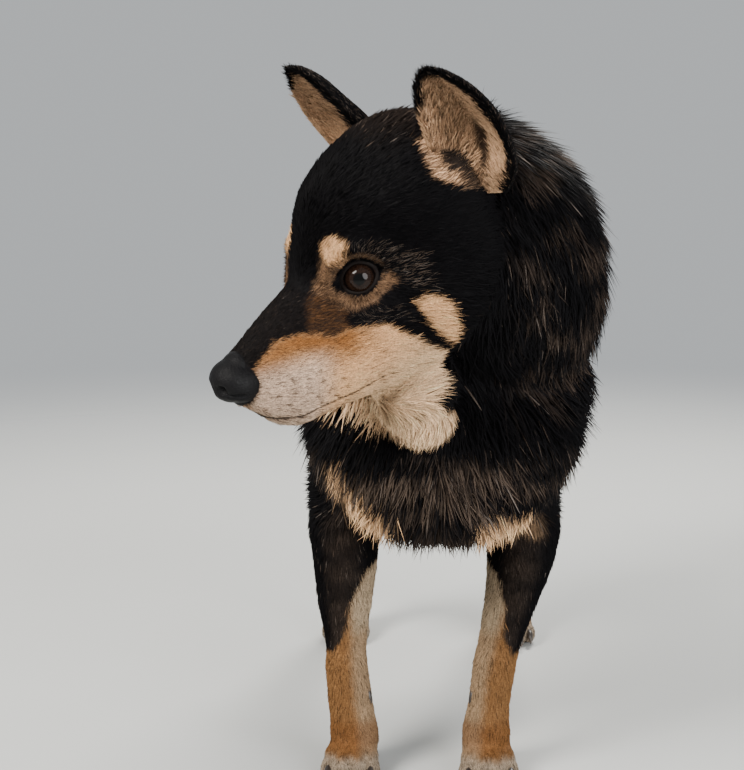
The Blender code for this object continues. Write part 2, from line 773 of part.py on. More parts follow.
def part_body(parts, tools):
    """The trunk, neck, tail and legs, fused whole and parted by thin cuts."""
    forms = body_forms(tools)
    forms += [skull_form(tools), head_ellipsoid("throat", *THROAT, tools)]
    chest = fuse("chest", forms, BODY_VOXEL, 6, parts)
    remove(*forms)
    sink_core(chest)
    coarsen(chest, BODY_TRIANGLES)
    grow_locks(chest)
    head_room = widened(head_prism("head room", HEAD_REGION, 160, tools), GAP, tools)
    boolean(chest, head_room, "DIFFERENCE")
    largest_piece(chest)
    sole = block("below the wrists", (-1, -1, -1), (1, 1, WRIST_HEIGHT), tools)
    boolean(chest, sole, "DIFFERENCE")

    tail = part_off(chest, prism("tail room", TAIL_REGION, (-0.2, 0.2), tools), "tail_base", parts, tools)
    tip_room = block("tip room", (-0.2, 0.1, 0.3), (0.2, TIP_START, 0.6), tools)
    part_off(tail, tip_room, "tail_tip", parts, tools)
    curl_room = block("curl room", (-0.2, 0.1, CURL_START), (0.2, 0.5, 0.6), tools)
    part_off(tail, curl_room, "tail_curl", parts, tools)
    for side, shoulder, hip in (
        ("left", (0.036, 0.2), (HIND_MIDDLE + 0.030, 0.2)),
        ("right", (-0.2, -0.020), (-0.2, HIND_MIDDLE - 0.030)),
    ):
        region = prism("shoulder room", SHOULDER_REGION, shoulder, tools)
        upper = part_off(chest, region, "foreleg_" + side, parts, tools)
        below = block("below the knee", (-1, -1, -1), (1, 1, KNEE_HEIGHT), tools)
        part_off(upper, below, "lower_foreleg_" + side, parts, tools)
        region = prism("hip room", HIP_REGION, hip, tools)
        thigh = part_off(chest, region, "thigh_" + side, parts, tools)
        below = block("below the stifle", (-1, -1, -1), (1, 1, STIFLE_HEIGHT), tools)
        part_off(thigh, below, "hind_leg_" + side, parts, tools)
    part_off(chest, prism("neck room", NECK_REGION, (-0.3, 0.3), tools), "neck", parts, tools)
    part_off(chest, block("loin room", (-1, LOIN_START, -1), (1, 1, 1), tools), "loin", parts, tools)


def eye_frame(side):
    """Axes of one eye: X along the lids to the outer corner, Y up across them, Z the way it looks."""
    gaze = Vector((EYE_GAZE.y * side, -EYE_GAZE.x, EYE_GAZE.z))
    corners = Vector((EYE_CORNERS.y * side, -EYE_CORNERS.x, EYE_CORNERS.z))
    upward = gaze.cross(corners).normalized() * side
    corners = upward.cross(gaze) * side
    front = Vector((EYE_FRONT.y * side, -EYE_FRONT.x, EYE_FRONT.z))
    frame = Matrix((corners, upward, gaze)).transposed().to_4x4()
    return HEAD @ Matrix.Scale(MM, 4) @ Matrix.Translation(front - gaze * EYE_DEPTH) @ frame


def ball(name, radius, matrix, group, segments=14, rings=8):
    bm = bmesh.new()
    bmesh.ops.create_uvsphere(bm, u_segments=segments, v_segments=rings, radius=radius, matrix=matrix)
    return object_from(bm, name, group)


def lid_opening(matrix, group, sides=14):
    """The almond between the lids, as a cone from inside the eye out through its front."""
    half, above, below = LID_OPENING
    bm = bmesh.new()
    rings = []
    for height, spread in ((EYE_RADIUS * 0.3, 0.75), (EYE_RADIUS * 1.6, 1.08)):
        ring = []
        for i in range(sides):
            angle = 2 * math.pi * i / sides
            lift = above if math.sin(angle) > 0 else below
            x = half * math.cos(angle) * spread
            y = lift * math.sin(angle) * abs(math.sin(angle)) ** 0.25 * spread
            ring.append(bm.verts.new(matrix @ Vector((x, y, height))))
        rings.append(ring)
    skin_rings(bm, rings)
    return object_from(bm, "lid opening", group)


def set_eyes(head, parts, tools):
    """Lids raised on the head, opened in an almond, with an eyeball behind them."""
    for name, side in (("eye_left", 1), ("eye_right", -1)):
        matrix = eye_frame(side)
        lids = ball("lids", EYE_RADIUS + LID_THICKNESS, matrix, tools)
        socket = ball("socket", EYE_RADIUS + GAP / MM, matrix, tools)
        opening = lid_opening(matrix, tools)
        boolean(head, lids, "UNION")
        boolean(head, socket, "DIFFERENCE")
        boolean(head, opening, "DIFFERENCE")
        largest_piece(head)
        eye = ball(name, EYE_RADIUS, matrix, parts)
        finish_colour(eye, name, EYE_BROWN, 0.05)
        remove(lids, socket, opening)


def nose_leather(parts, tools):
    """The nose pad: a rounded wedge with its two wings, philtrum and nostrils."""
    forms = [
        head_ellipsoid("nose pad", (93.5, 0, -22.5), (14, 15.5, 13.5), tools),
        head_ellipsoid("nose bridge", (86, 0, -15), (9, 11, 8), tools),
        head_ellipsoid("philtrum", (92.5, 0, -34), (5.5, 5, 7.5), tools),
    ]
    for side in (-1, 1):
        forms.append(head_ellipsoid("nose wing", (89.5, 8.5 * side, -26), (13, 8.5, 10.5), tools))
    nose = coarsen(fuse("nose", forms, NOSE_VOXEL, 3, parts), NOSE_TRIANGLES)
    remove(*forms)
    for side in (-1, 1):
        for place, radii, tilt in (
            ((105, 6.2 * side, -22.5), (7, 3.1, 3.6), 20),
            ((100, 12.5 * side, -27.5), (6.5, 4.6, 1.7), 35),
        ):
            turn = Matrix.Rotation(math.radians(tilt * side), 4, "Z")
            hole = head_ellipsoid("nostril", place, radii, tools, turn, 2)
            boolean(nose, hole, "DIFFERENCE")
            remove(hole)
    finish_colour(nose, "nose", NOSE_LEATHER, 0.5)
    return largest_piece(nose)


def ear(name, side, hosts, parts, tools, sides=10):
    """A cupped ear: crescent sections from its foot to its tip, cut to sit on the head."""
    upward = EAR_LEANS[side].normalized()
    facing = EAR_FACINGS[side]
    facing = (facing - upward * facing.dot(upward)).normalized()
    outward = facing.cross(upward) * -side
    tip = EAR_TIPS[side]
    bm = bmesh.new()
    rings = []
    for height, aside, half, depth, fill in EAR_STATIONS:
        wall = min(EAR_WALL, half * 0.5, depth * 0.7)
        centre = tip + upward * height + outward * aside
        angles = [math.pi * i / (sides - 1) for i in range(sides)]
        ring = []
        for angle in angles:
            back = facing * (-depth * math.sin(angle))
            ring.append(centre + outward * half * math.cos(angle) + back)
        for angle in reversed(angles[1:-1]):
            hollow = (depth - wall) * (1 - fill)
            back = facing * (-hollow * math.sin(angle))
            ring.append(centre + outward * (half - wall * 0.9) * math.cos(angle) + back)
        rings.append([bm.verts.new(HEAD @ (point * MM)) for point in ring])
    skin_rings(bm, rings)
    piece = object_from(bm, name, parts)
    for host in hosts:
        room = swollen(host, GAP * 1.3, tools)
        boolean(piece, room, "DIFFERENCE")
        remove(room)
    finish_colour(piece, name, BLACK_COAT, COAT_ROUGHNESS)
    return largest_piece(piece)


def lip_region(name, lift, tools):
    """The space of the lower jaw: under the line of the lips, raised by the lift, back to its corner."""
    line = [(forward - lift * (forward < 20), up + lift) for forward, up in LIP_LINE]
    outline = [*line, (line[-1][0], JAW_FLOOR), (line[0][0], JAW_FLOOR)]
    return head_prism(name, outline, 60, tools)


def claw(name, root, matrix, host, parts, tools):
    """A curved horn claw from the root forwards and down, cut to sit against its toe."""
    x, y, z = root
    stations = []
    for ahead, drop, width, depth in CLAW_ARC:
        stations.append((x, y - ahead * MM, z - drop * MM, width * MM, depth * MM))
    piece = limb(name, stations, parts, matrix, sides=6, steps=1)
    room = swollen(host, GAP * 1.3, tools)
    boolean(piece, room, "DIFFERENCE")
    remove(room)
    finish_colour(piece, name, CLAW_HORN, 0.35)
    return largest_piece(piece)


def paw(label, place, turn, parts, tools):
    """A paw with four arched toes, flat pads on the floor, and a claw on each toe."""
    stand = Matrix.Translation((*place, 0)) @ Matrix.Rotation(math.radians(turn), 4, "Z")
    matrix = stand @ Matrix.Scale(MM, 4)
    forms = [
        ellipsoid("wrist", (0, 3, 32), (17.5, 17.5, 18), tools, matrix),
        ellipsoid("back of the paw", (0, -6, 17), (18.5, 20, 13), tools, matrix),
        ellipsoid("heel pad", (0, 2, 7), (15, 15, 9), tools, matrix),
    ]
    for x, y in TOES:
        forms.append(ellipsoid("toe", (x, y, 8.5), (6.6, 12.5, 9.8), tools, matrix))
        forms.append(ellipsoid("knuckle", (x * 0.95, y + 8, 15.5), (5.4, 11, 8.5), tools, matrix))
    piece = coarsen(fuse(label, forms, PAW_VOXEL, 2, parts), PAW_TRIANGLES)
    remove(*forms)
    for low, high in (((-1, -1, -1), (1, 1, 0)), ((-1, -1, WRIST_HEIGHT - GAP), (1, 1, 1))):
        cutter = block("level", low, high, tools)
        boolean(piece, cutter, "DIFFERENCE")
        remove(cutter)
    largest_piece(piece)
    finish_colour(piece, label, CREAM_COAT, COAT_ROUGHNESS)
    for number, (x, y) in enumerate(TOES, 1):
        root = (x * MM, (y - 8) * MM, CLAW_HEIGHT * MM)
        claw("claw_%s_%d" % (label, number), root, stand, piece, parts, tools)


def part_paws(parts, tools):
    for label, stations, turn in (
        ("forepaw_left", FORELEG_LEFT, 3),
        ("forepaw_right", FORELEG_RIGHT, -3),
        ("hind_paw_left", HIND_LEG, 6),
        ("hind_paw_right", mirrored(HIND_LEG, HIND_MIDDLE), -6),
    ):
        ankle = stations[-2]
        paw(label, (ankle[0], ankle[1]), turn, parts, tools)
    for label, side in (("left", 1), ("right", -1)):
        host = parts.objects["lower_foreleg_" + label]
        aside = Matrix.Rotation(math.radians(-DEWCLAW_TURN * side), 4, "Z")
        droop = Matrix.Rotation(math.radians(DEWCLAW_DROOP), 4, "X")
        matrix = Matrix.Translation(DEWCLAW_ROOTS[side]) @ aside @ droop
        claw("dewclaw_" + label, (0, 0, 0), matrix, host, parts, tools)


def colour_coat(parts):
    """Gives each coated node the colour that covers most of it."""
    for obj in parts.objects:
        if not obj.data.materials:
            colour = BLACK_COAT
            if obj.name.startswith(("lower_", "hind_leg")):
                colour = TAN_COAT
            finish_colour(obj, obj.name, colour, COAT_ROUGHNESS)


def centre_on_floor(parts):
    """Moves everything so that the middle of the outer box stands over the origin."""
    places = [v.co for obj in parts.objects for v in obj.data.vertices]
    middle = [(min(p[i] for p in places) + max(p[i] for p in places)) / 2 for i in range(2)]
    for obj in parts.objects:
        obj.data.transform(Matrix.Translation((-middle[0], -middle[1], 0)))


def part_head(parts, tools):
    """The head: skull, lids, jaw, nose and ears."""
    forms = [skull_form(tools), limb("neck mass", NECK, tools), head_ellipsoid("throat", *THROAT, tools)]
    for side in (-1, 1):
        forms.append(head_ellipsoid("brow", (2, 21 * side, 20), (15, 14, 13), tools))
        forms.append(head_ellipsoid("upper lip", (68, 12 * side, -42), (25, 10, 13.5), tools))
    fused = fuse("head", forms, HEAD_VOXEL, 5, parts)
    remove(*forms)
    rough = widened(head_prism("head room", HEAD_REGION, 160, tools), 0.012, tools)
    boolean(fused, rough, "INTERSECT")
    head = coarsen(largest_piece(fused), HEAD_TRIANGLES)
    region = head_prism("head region", HEAD_REGION, 160, tools)
    boolean(head, region, "INTERSECT")
    remove(rough, region)
    largest_piece(head)

    jaw_space = lip_region("jaw space", 0, tools)
    jaw = boolean(copy_of(head, "lower_jaw", parts), jaw_space, "INTERSECT")
    largest_piece(jaw)
    jaw_room = lip_region("jaw room", LIP_PARTING, tools)
    boolean(head, jaw_room, "DIFFERENCE")
    largest_piece(head)
    nose = nose_leather(parts, tools)
    nose_room = swollen(nose, GAP * 1.3, tools)
    boolean(head, nose_room, "DIFFERENCE")
    boolean(jaw, nose_room, "DIFFERENCE")
    largest_piece(head)
    remove(jaw_space, jaw_room, nose_room)
    set_eyes(head, parts, tools)
    for name, side in (("ear_left", 1), ("ear_right", -1)):
        ear(name, side, (head, parts.objects["neck"]), parts, tools)


def main():
    clear_scene()
    parts = add_collection("shiba inu")
    tools = add_collection("cutters")
    tools.hide_render = True
    part_body(parts, tools)
    part_head(parts, tools)
    part_paws(parts, tools)
    for obj in list(tools.objects):
        remove(obj)
    colour_coat(parts)
    centre_on_floor(parts)


main()
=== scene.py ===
"""Looks of a black-and-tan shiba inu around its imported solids.

Lofts: a smooth row through given rows a, b, c, d is half of 2b + (c - a)t + (2a - 5b + 4c - d)t^2
+ (3b - a - 3c + d)t^3, with t from 0 to 1 between b and c. Rings of such rows are joined by quads.

Skin: the lofts and ellipsoids are fused by a voxel remesh, evened by moving each vertex half way to
the mean of its neighbours, and moved in along the normals by the depth of the coat.

Coat: roots are drawn on the skin's triangles with a chance of area times density. A tuft leaves its
root along the lie of the coat and bends up to its stand: place(u) = root + lie * length * u
+ normal * stand * u^0.8 + side * length * curl * u^2. It is a ridge of two strips that closes at a tip.

Lids: in each direction round the line of sight the opening's angle is a sum of two shares to the
power -1/1.7: the cosine over the corner's angle and the sine over the lid's, each to the power 1.7.

Marks: each is the signed distance to a flat outline, or to an ellipsoid, turned into a share by a
soft step whose place is moved by noise, so that the edges of the marks are broken up by the tufts.
"""

import math

import bmesh
import bpy
import numpy as np
from mathutils import Matrix, Vector


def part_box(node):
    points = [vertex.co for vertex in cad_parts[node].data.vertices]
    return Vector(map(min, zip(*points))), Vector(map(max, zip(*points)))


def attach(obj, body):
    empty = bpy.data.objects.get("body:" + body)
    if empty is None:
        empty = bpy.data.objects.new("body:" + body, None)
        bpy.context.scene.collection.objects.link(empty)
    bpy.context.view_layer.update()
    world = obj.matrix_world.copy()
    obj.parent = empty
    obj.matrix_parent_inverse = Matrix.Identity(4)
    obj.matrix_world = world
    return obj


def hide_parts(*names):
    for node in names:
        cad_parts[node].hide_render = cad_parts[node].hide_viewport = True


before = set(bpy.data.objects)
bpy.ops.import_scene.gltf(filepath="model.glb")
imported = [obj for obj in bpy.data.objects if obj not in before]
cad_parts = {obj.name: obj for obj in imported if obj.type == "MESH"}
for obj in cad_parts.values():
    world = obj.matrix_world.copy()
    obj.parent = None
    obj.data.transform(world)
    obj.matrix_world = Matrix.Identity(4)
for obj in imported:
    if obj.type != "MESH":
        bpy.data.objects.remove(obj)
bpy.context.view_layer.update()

draw = np.random.default_rng(20)
MM = 0.001

# The body's stations. Trunk: place along Y, offset in X, half width, top, bottom, narrowing upwards
TORSO = [
    (-0.078, 0.014, 0.020, 0.262, 0.222, 0.0),
    (-0.072, 0.014, 0.052, 0.292, 0.196, 0.0),
    (-0.055, 0.015, 0.081, 0.318, 0.179, 0.0),
    (-0.020, 0.016, 0.098, 0.345, 0.171, 0.02),
    (0.030, 0.016, 0.102, 0.363, 0.170, 0.05),
    (0.090, 0.015, 0.095, 0.357, 0.175, 0.05),
    (0.150, 0.014, 0.086, 0.350, 0.187, 0.05),
    (0.205, 0.013, 0.078, 0.347, 0.203, 0.02),
    (0.255, 0.012, 0.074, 0.346, 0.222, 0.0),
    (0.295, 0.012, 0.066, 0.338, 0.240, 0.0),
    (0.322, 0.012, 0.046, 0.318, 0.258, 0.0),
    (0.332, 0.012, 0.016, 0.298, 0.276, 0.0),
]
# Limbs: X, Y, Z, half width, half depth
NECK = [
    (0.016, 0.060, 0.275, 0.072, 0.060),
    (0.023, 0.030, 0.305, 0.095, 0.072),
    (0.034, -0.010, 0.345, 0.096, 0.080),
    (0.036, -0.042, 0.383, 0.087, 0.080),
    (0.021, -0.073, 0.410, 0.069, 0.068),
    (0.002, -0.092, 0.423, 0.042, 0.045),
]
FORELEG_LEFT = [
    (0.060, 0.035, 0.275, 0.026, 0.040),
    (0.070, 0.030, 0.220, 0.032, 0.044),
    (0.073, 0.024, 0.180, 0.028, 0.036),
    (0.071, 0.018, 0.152, 0.025, 0.029),
    (0.064, 0.012, 0.120, 0.0195, 0.022),
    (0.057, 0.008, 0.093, 0.0165, 0.0185),
    (0.0530, 0.004, 0.074, 0.0165, 0.0185),
    (0.0500, 0.001, 0.052, 0.0160, 0.0165),
    (0.0480, -0.002, 0.034, 0.0175, 0.0175),
    (0.0475, -0.004, 0.020, 0.0175, 0.0175),
]
FORELEG_RIGHT = [
    (-0.040, 0.035, 0.275, 0.026, 0.040),
    (-0.052, 0.030, 0.220, 0.030, 0.044),
    (-0.054, 0.024, 0.180, 0.027, 0.036),
    (-0.0530, 0.018, 0.152, 0.0245, 0.029),
    (-0.0530, 0.012, 0.120, 0.0205, 0.022),
    (-0.0520, 0.008, 0.093, 0.0160, 0.0185),
    (-0.0515, 0.004, 0.074, 0.0165, 0.0185),
    (-0.0490, 0.001, 0.052, 0.0170, 0.0170),
    (-0.0465, -0.002, 0.034, 0.0175, 0.0175),
    (-0.0450, -0.004, 0.020, 0.0175, 0.0175),
]
HIND_LEG = [
    (0.043, 0.268, 0.300, 0.030, 0.050),
    (0.054, 0.262, 0.262, 0.034, 0.066),
    (0.061, 0.250, 0.220, 0.032, 0.064),
    (0.066, 0.240, 0.180, 0.028, 0.050),
    (0.069, 0.250, 0.150, 0.0225, 0.036),
    (0.071, 0.282, 0.122, 0.0180, 0.0255),
    (0.072, 0.318, 0.100, 0.0145, 0.0215),
    (0.073, 0.334, 0.078, 0.0140, 0.0175),
    (0.074, 0.333, 0.050, 0.0145, 0.0160),
    (0.075, 0.328, 0.034, 0.0165, 0.0175),
    (0.075, 0.325, 0.020, 0.0165, 0.0175),
]
TAIL = [
    (0.012, 0.285, 0.318, 0.022, 0.022),
    (0.012, 0.318, 0.340, 0.024, 0.024),
    (0.013, 0.344, 0.372, 0.027, 0.028),
    (0.017, 0.340, 0.408, 0.030, 0.031),
    (0.025, 0.310, 0.432, 0.031, 0.032),
    (0.036, 0.272, 0.434, 0.029, 0.030),
    (0.048, 0.240, 0.416, 0.024, 0.025),
    (0.056, 0.222, 0.394, 0.016, 0.017),
    (0.059, 0.214, 0.378, 0.006, 0.006),
]
HIND_MIDDLE = 0.005
TAIL_CORE = 0.55

# The head, in millimetres forward of the eyes, sideways and up: place, floor of the section,
# then jaw, cheek, orbit and temple as sideways and up, and its top
HEAD_SECTIONS = [
    (99, -33, (5, -32), (7, -29), (7, -25), (6, -20), -16),
    (94, -40, (9, -38), (12, -34), (11.5, -26), (10, -18), -12),
    (87, -50, (13, -46), (17.5, -39), (16, -27), (12.5, -14), -8),
    (79, -61, (16, -53), (21.5, -42), (19, -26), (14, -11.5), -5),
    (68, -69, (20, -59), (26, -43), (22.5, -24), (15.5, -8), -0.5),
    (55, -72, (22, -61), (29, -43), (24.5, -20), (16.5, -4), 5),
    (42, -73, (25, -62), (32.5, -42), (26, -16), (17.5, 0), 9.5),
    (30, -75, (29, -63), (36, -40), (26.5, -10), (18.5, 6), 14),
    (20, -77, (32, -63), (39, -38), (26, -3), (23.5, 16), 32),
    (8, -79, (37, -64), (46, -36), (30, 1), (27, 32), 52),
    (-5, -81, (41, -65), (55, -32), (38, 4), (34, 43), 63),
    (-22, -82, (46, -64), (66, -28), (55, 10), (44, 48), 72),
    (-42, -82, (49, -62), (73, -24), (66, 14), (51, 52), 77),
    (-62, -80, (49, -58), (76, -18), (70, 18), (53, 53), 79),
    (-82, -74, (46, -51), (72, -12), (67, 18), (52, 52), 75),
    (-100, -63, (38, -43), (60, -8), (57, 16), (46, 49), 65),
    (-114, -48, (27, -32), (42, -4), (40, 14), (32, 37), 49),
    (-122, -24, (12, -16), (18, -2), (18, 8), (14, 20), 26),
]
HEAD_CENTRE = Vector((-0.049, -0.120, 0.365))
HEAD_YAW, HEAD_PITCH, HEAD_ROLL = (math.radians(a) for a in (55.0, 24.3, 3.7))
HEAD_REGION = [(-112, 150), (-108, 90), (-32, -87), (130, -87), (130, 150)]
LIP_LINE = [(95, -41), (90, -47), (84, -53), (77, -56.5), (67, -58.5), (50, -58.5), (33, -59.5), (15, -57)]
# The full throat behind the jaw: its middle and radii
THROAT = ((-14, 16, -95), (32, 32, 35))
# The full ruff over the left shoulder, in metres
SHOULDER_RUFF = ((0.082, 0.018, 0.287), (0.042, 0.052, 0.050))

# The eye, in millimetres forward, sideways and up from the midpoint between the eyes
EYE_FRONT = Vector((3.2, 29.5, 5.3))
EYE_GAZE = Vector((0.55, 0.78, 0.26)).normalized()
EYE_CORNERS = Vector((-24, 15, 3.0)).normalized()
EYE_RADIUS = 12.0
EYE_DEPTH = 10.4
EYE_AHEAD = 4.6
# How far the opening reaches from the line of sight: to the inner and outer corner, up and down, in degrees
OPENING = (70, 64, 52, 44)

# The lids' bands: spread over the opening, and millimetres over the eyeball's edge there
LID_ROWS = [
    (0.91, -1.6), (0.92, -0.3), (0.94, 0.5), (0.98, 1.05), (1.03, 1.25), (1.09, 1.15), (1.16, 0.6),
    (1.24, -0.8),
]

EAR_TIPS = {1: Vector((68, 64, 109)), -1: Vector((-68, 56, 106))}
EAR_FACINGS = {1: Vector((0.38, -0.92, 0)), -1: Vector((-0.08, -1, 0))}
EAR_LEANS = {1: Vector((0.12, -0.18, 1)), -1: Vector((-0.34, -0.26, 1))}
EAR_STATIONS = [
    (-86, 3, 17, 14, 1.00),
    (-74, 4, 25, 18, 0.94),
    (-62, 5, 28, 19, 0.46),
    (-47, 6, 28, 18, 0.22),
    (-29, 6, 26.5, 15, 0.18),
    (-13, 4, 21, 12, 0.20),
    (-2, 2, 13, 8, 0.28),
    (3, 1, 7.5, 4.5, 0.5),
    (5.5, 1, 2.5, 2, 1.0),
]
# Wrist or ankle, the paw's body and its sole, as middles and radii in millimetres
PAW_MASSES = [((0, 3, 32), (17.5, 17.5, 18)), ((0, -6, 17), (18.5, 20, 13)), ((0, 2, 7), (15, 15, 9))]
TOES = [(-14.8, -21), (-5.3, -30), (5.3, -30), (14.8, -21)]
CLAW_HEIGHT = 11
# Claws: millimetres along, drop, half width and half depth
CLAW_ARC = [
    (-3, 0, 2.0, 2.3), (0, 0, 2.2, 2.6), (5, 0.6, 2.4, 2.9), (9, 3.0, 1.9, 2.3), (11.8, 7.2, 0.4, 0.5),
]
DEWCLAW_ROOTS = {1: Vector((0.0385, -0.001, 0.058)), -1: Vector((-0.0365, -0.001, 0.058))}

# Colours of the coat
BLACK = np.array((0.0030, 0.0028, 0.0034))
BROWN_BLACK = np.array((0.019, 0.013, 0.010))
GUARD_BROWN = np.array((0.120, 0.085, 0.062))
PALE_GREY = np.array((0.30, 0.26, 0.23))
TAN = np.array((0.64, 0.34, 0.15))
PEACH = np.array((0.90, 0.53, 0.27))
ORANGE = np.array((0.36, 0.15, 0.045))
RUST = np.array((0.19, 0.072, 0.020))
CREAM = np.array((0.90, 0.62, 0.38))
OFF_WHITE = np.array((0.78, 0.57, 0.42))
# Tan of the legs, deeper than the face's tan: darkened as painted shade for the shade the legs stand in
SHADED_LEG_TAN = np.array((0.27, 0.135, 0.052))
EYE_TAN = np.array((0.25, 0.145, 0.080))
EAR_TAN = np.array((0.74, 0.46, 0.27))
# Cream of the legs, belly, seat and toes: a copy of the cream darkened as painted shade, like the legs' tan
SHADED_LEG_CREAM = np.array((0.46, 0.35, 0.23))


def unit(v):
    return v / np.maximum(np.linalg.norm(v, axis=-1, keepdims=True), 1e-12)


def step(low, high, value):
    """A soft step from 0 at low to 1 at high."""
    t = np.clip((value - low) / (high - low), 0, 1)
    return t * t * (3 - 2 * t)


def mix(a, b, share):
    return a + (b - a) * share


def smooth_rows(rows, steps, closed=False):
    """Rows of numbers with steps rows for each stretch, on a smooth curve through the given ones."""
    rows = np.asarray(rows, float)
    count = len(rows)
    spans = count if closed else count - 1
    at = np.repeat(np.arange(spans), steps)
    t = np.tile(np.arange(steps) / steps, spans)[:, None]
    near = [at + k - 1 for k in range(4)]
    near = [k % count if closed else np.clip(k, 0, count - 1) for k in near]
    a, b, c, d = (rows[k] for k in near)
    squared = (2 * a - 5 * b + 4 * c - d) * t**2
    cubed = (3 * b - a - 3 * c + d) * t**3
    curve = 0.5 * (2 * b + (c - a) * t + squared + cubed)
    return curve if closed else np.vstack([curve, rows[-1:]])


def head_matrix():
    """Head space has its origin between the eyes, X to the left, Y backwards and Z up."""
    turn = Matrix.Rotation(-HEAD_YAW, 4, "Z")
    nod = Matrix.Rotation(HEAD_PITCH, 4, "X")
    tilt = Matrix.Rotation(HEAD_ROLL, 4, "Y")
    return Matrix.Translation(HEAD_CENTRE) @ turn @ nod @ tilt


HEAD = head_matrix()


def eye_frame(side, ahead=EYE_AHEAD):
    """Axes of one eye: X along the lids to the outer corner, Y up across them, Z the way it looks.

    The eye looks out of the coat a little ahead of its solid.
    """
    gaze = Vector((EYE_GAZE.y * side, -EYE_GAZE.x, EYE_GAZE.z))
    corners = Vector((EYE_CORNERS.y * side, -EYE_CORNERS.x, EYE_CORNERS.z))
    upward = gaze.cross(corners).normalized() * side
    corners = upward.cross(gaze) * side
    front = Vector((EYE_FRONT.y * side, -EYE_FRONT.x, EYE_FRONT.z))
    axes = Matrix((corners, upward, gaze)).transposed().to_4x4()
    return HEAD @ Matrix.Scale(MM, 4) @ Matrix.Translation(front - gaze * (EYE_DEPTH - ahead)) @ axes


def row_shift():
    """The way from the stations' own origin to the row's: from where the left eye sits in each."""
    low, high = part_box("eye_left")
    return np.array((low + high) / 2 - eye_frame(1, 0).translation)


SHIFT = row_shift()


def moved(matrix, points):
    """Points through a matrix."""
    m = np.array(matrix)
    return points @ m[:3, :3].T + m[:3, 3]


def turned(matrix, vectors):
    return vectors @ np.array(matrix)[:3, :3].T


def in_head(points):
    """Millimetres forward, sideways to the left and up of the midpoint between the eyes."""
    local = moved(HEAD.inverted(), points) / MM
    return -local[:, 1], local[:, 0], local[:, 2]


def from_head(forward, left, up):
    return moved(HEAD, np.stack([left, -forward, up], -1) * MM)


# Meshes from arrays


def make_mesh(name, points, faces, shift=True):
    """A mesh from an array of points and arrays of faces of one size each."""
    mesh = bpy.data.meshes.new(name)
    places = points + SHIFT if shift else points
    mesh.vertices.add(len(places))
    mesh.vertices.foreach_set("co", places.astype(np.float32).ravel())
    corners = np.concatenate([f.ravel() for f in faces]).astype(np.int32)
    sizes = np.concatenate([np.full(len(f), f.shape[1]) for f in faces])
    starts = np.concatenate([[0], np.cumsum(sizes)[:-1]]).astype(np.int32)
    mesh.loops.add(len(corners))
    mesh.loops.foreach_set("vertex_index", corners)
    mesh.polygons.add(len(sizes))
    mesh.polygons.foreach_set("loop_start", starts)
    mesh.update(calc_edges=True)
    mesh.polygons.foreach_set("use_smooth", np.ones(len(sizes), bool))
    return mesh


def add_object(name, mesh, material=None, replaces=()):
    """Links a mesh as a piece of the model that rides on its one body."""
    obj = bpy.data.objects.new(name, mesh)
    bpy.context.scene.collection.objects.link(obj)
    if material:
        mesh.materials.append(material)
    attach(obj, "root")
    if replaces:
        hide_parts(*replaces)
    return obj


def ring_faces(rings, sides, first=0):
    """Quads between rings of equally many vertices that follow each other."""
    i = np.arange(rings - 1)[:, None] * sides
    k = np.arange(sides)[None, :]
    j = (k + 1) % sides
    return (np.stack([i + k, i + j, i + sides + j, i + sides + k], -1) + first).reshape(-1, 4)


def loft(rings):
    """A closed form from rings of shape (count, sides, 3): its points, quads and end triangles."""
    count, sides, _ = rings.shape
    points = np.vstack([rings.reshape(-1, 3), rings[0].mean(0), rings[-1].mean(0)])
    k = np.arange(sides)
    j = (k + 1) % sides
    near = np.stack([j, k, np.full(sides, count * sides)], -1)
    base = (count - 1) * sides
    far = np.stack([base + k, base + j, np.full(sides, count * sides + 1)], -1)
    return points, ring_faces(count, sides), np.vstack([near, far])


def trunk_form(sides=40):
    """Egg-shaped sections along Y."""
    along, aside, width, top, bottom, narrowing = smooth_rows(TORSO, 6).T[:, :, None]
    angle = np.linspace(0, 2 * math.pi, sides, endpoint=False)[None, :]
    x = aside + width * np.cos(angle) * (1 - narrowing * np.sin(angle))
    z = (top + bottom) / 2 + (top - bottom) / 2 * np.sin(angle)
    return loft(np.stack([x, np.broadcast_to(along, x.shape), z], -1))


def path_ahead(rows):
    """Unit vectors along a path at its rows."""
    return unit(np.vstack([rows[1:2] - rows[:1], rows[2:] - rows[:-2], rows[-1:] - rows[-2:-1]]))


def limb_form(stations, sides=28, steps=6, matrix=None):
    """Ellipses square to a path through rows of X, Y, Z, half width and half depth."""
    rows = smooth_rows(stations, steps)
    centres = rows[:, :3]
    ahead = path_ahead(centres)
    deep = unit(np.cross(ahead, [1.0, 0, 0]))
    wide = unit(np.cross(deep, ahead))
    angle = np.linspace(0, 2 * math.pi, sides, endpoint=False)[None, :, None]
    rings = (
        centres[:, None]
        + wide[:, None] * rows[:, 3, None, None] * np.cos(angle)
        + deep[:, None] * rows[:, 4, None, None] * np.sin(angle)
    )
    if matrix is not None:
        rings = moved(matrix, rings.reshape(-1, 3)).reshape(rings.shape)
    return loft(rings)


def skull_form(steps=6):
    """Head sections of floor, jaw, cheek, orbit, temple and top, mirrored."""
    rows = [(*row[:2], *(v for side in row[2:-1] for v in side), row[-1]) for row in HEAD_SECTIONS]
    rings = []
    for place, floor, *sides, top in smooth_rows(rows, 5):
        side = list(zip(sides[::2], sides[1::2]))
        outline = [(0, floor), *side, (0, top), *((-x, z) for x, z in reversed(side))]
        ring = smooth_rows(outline, steps, closed=True)
        rings.append(from_head(np.full(len(ring), place), ring[:, 0], ring[:, 1]))
    return loft(np.array(rings))


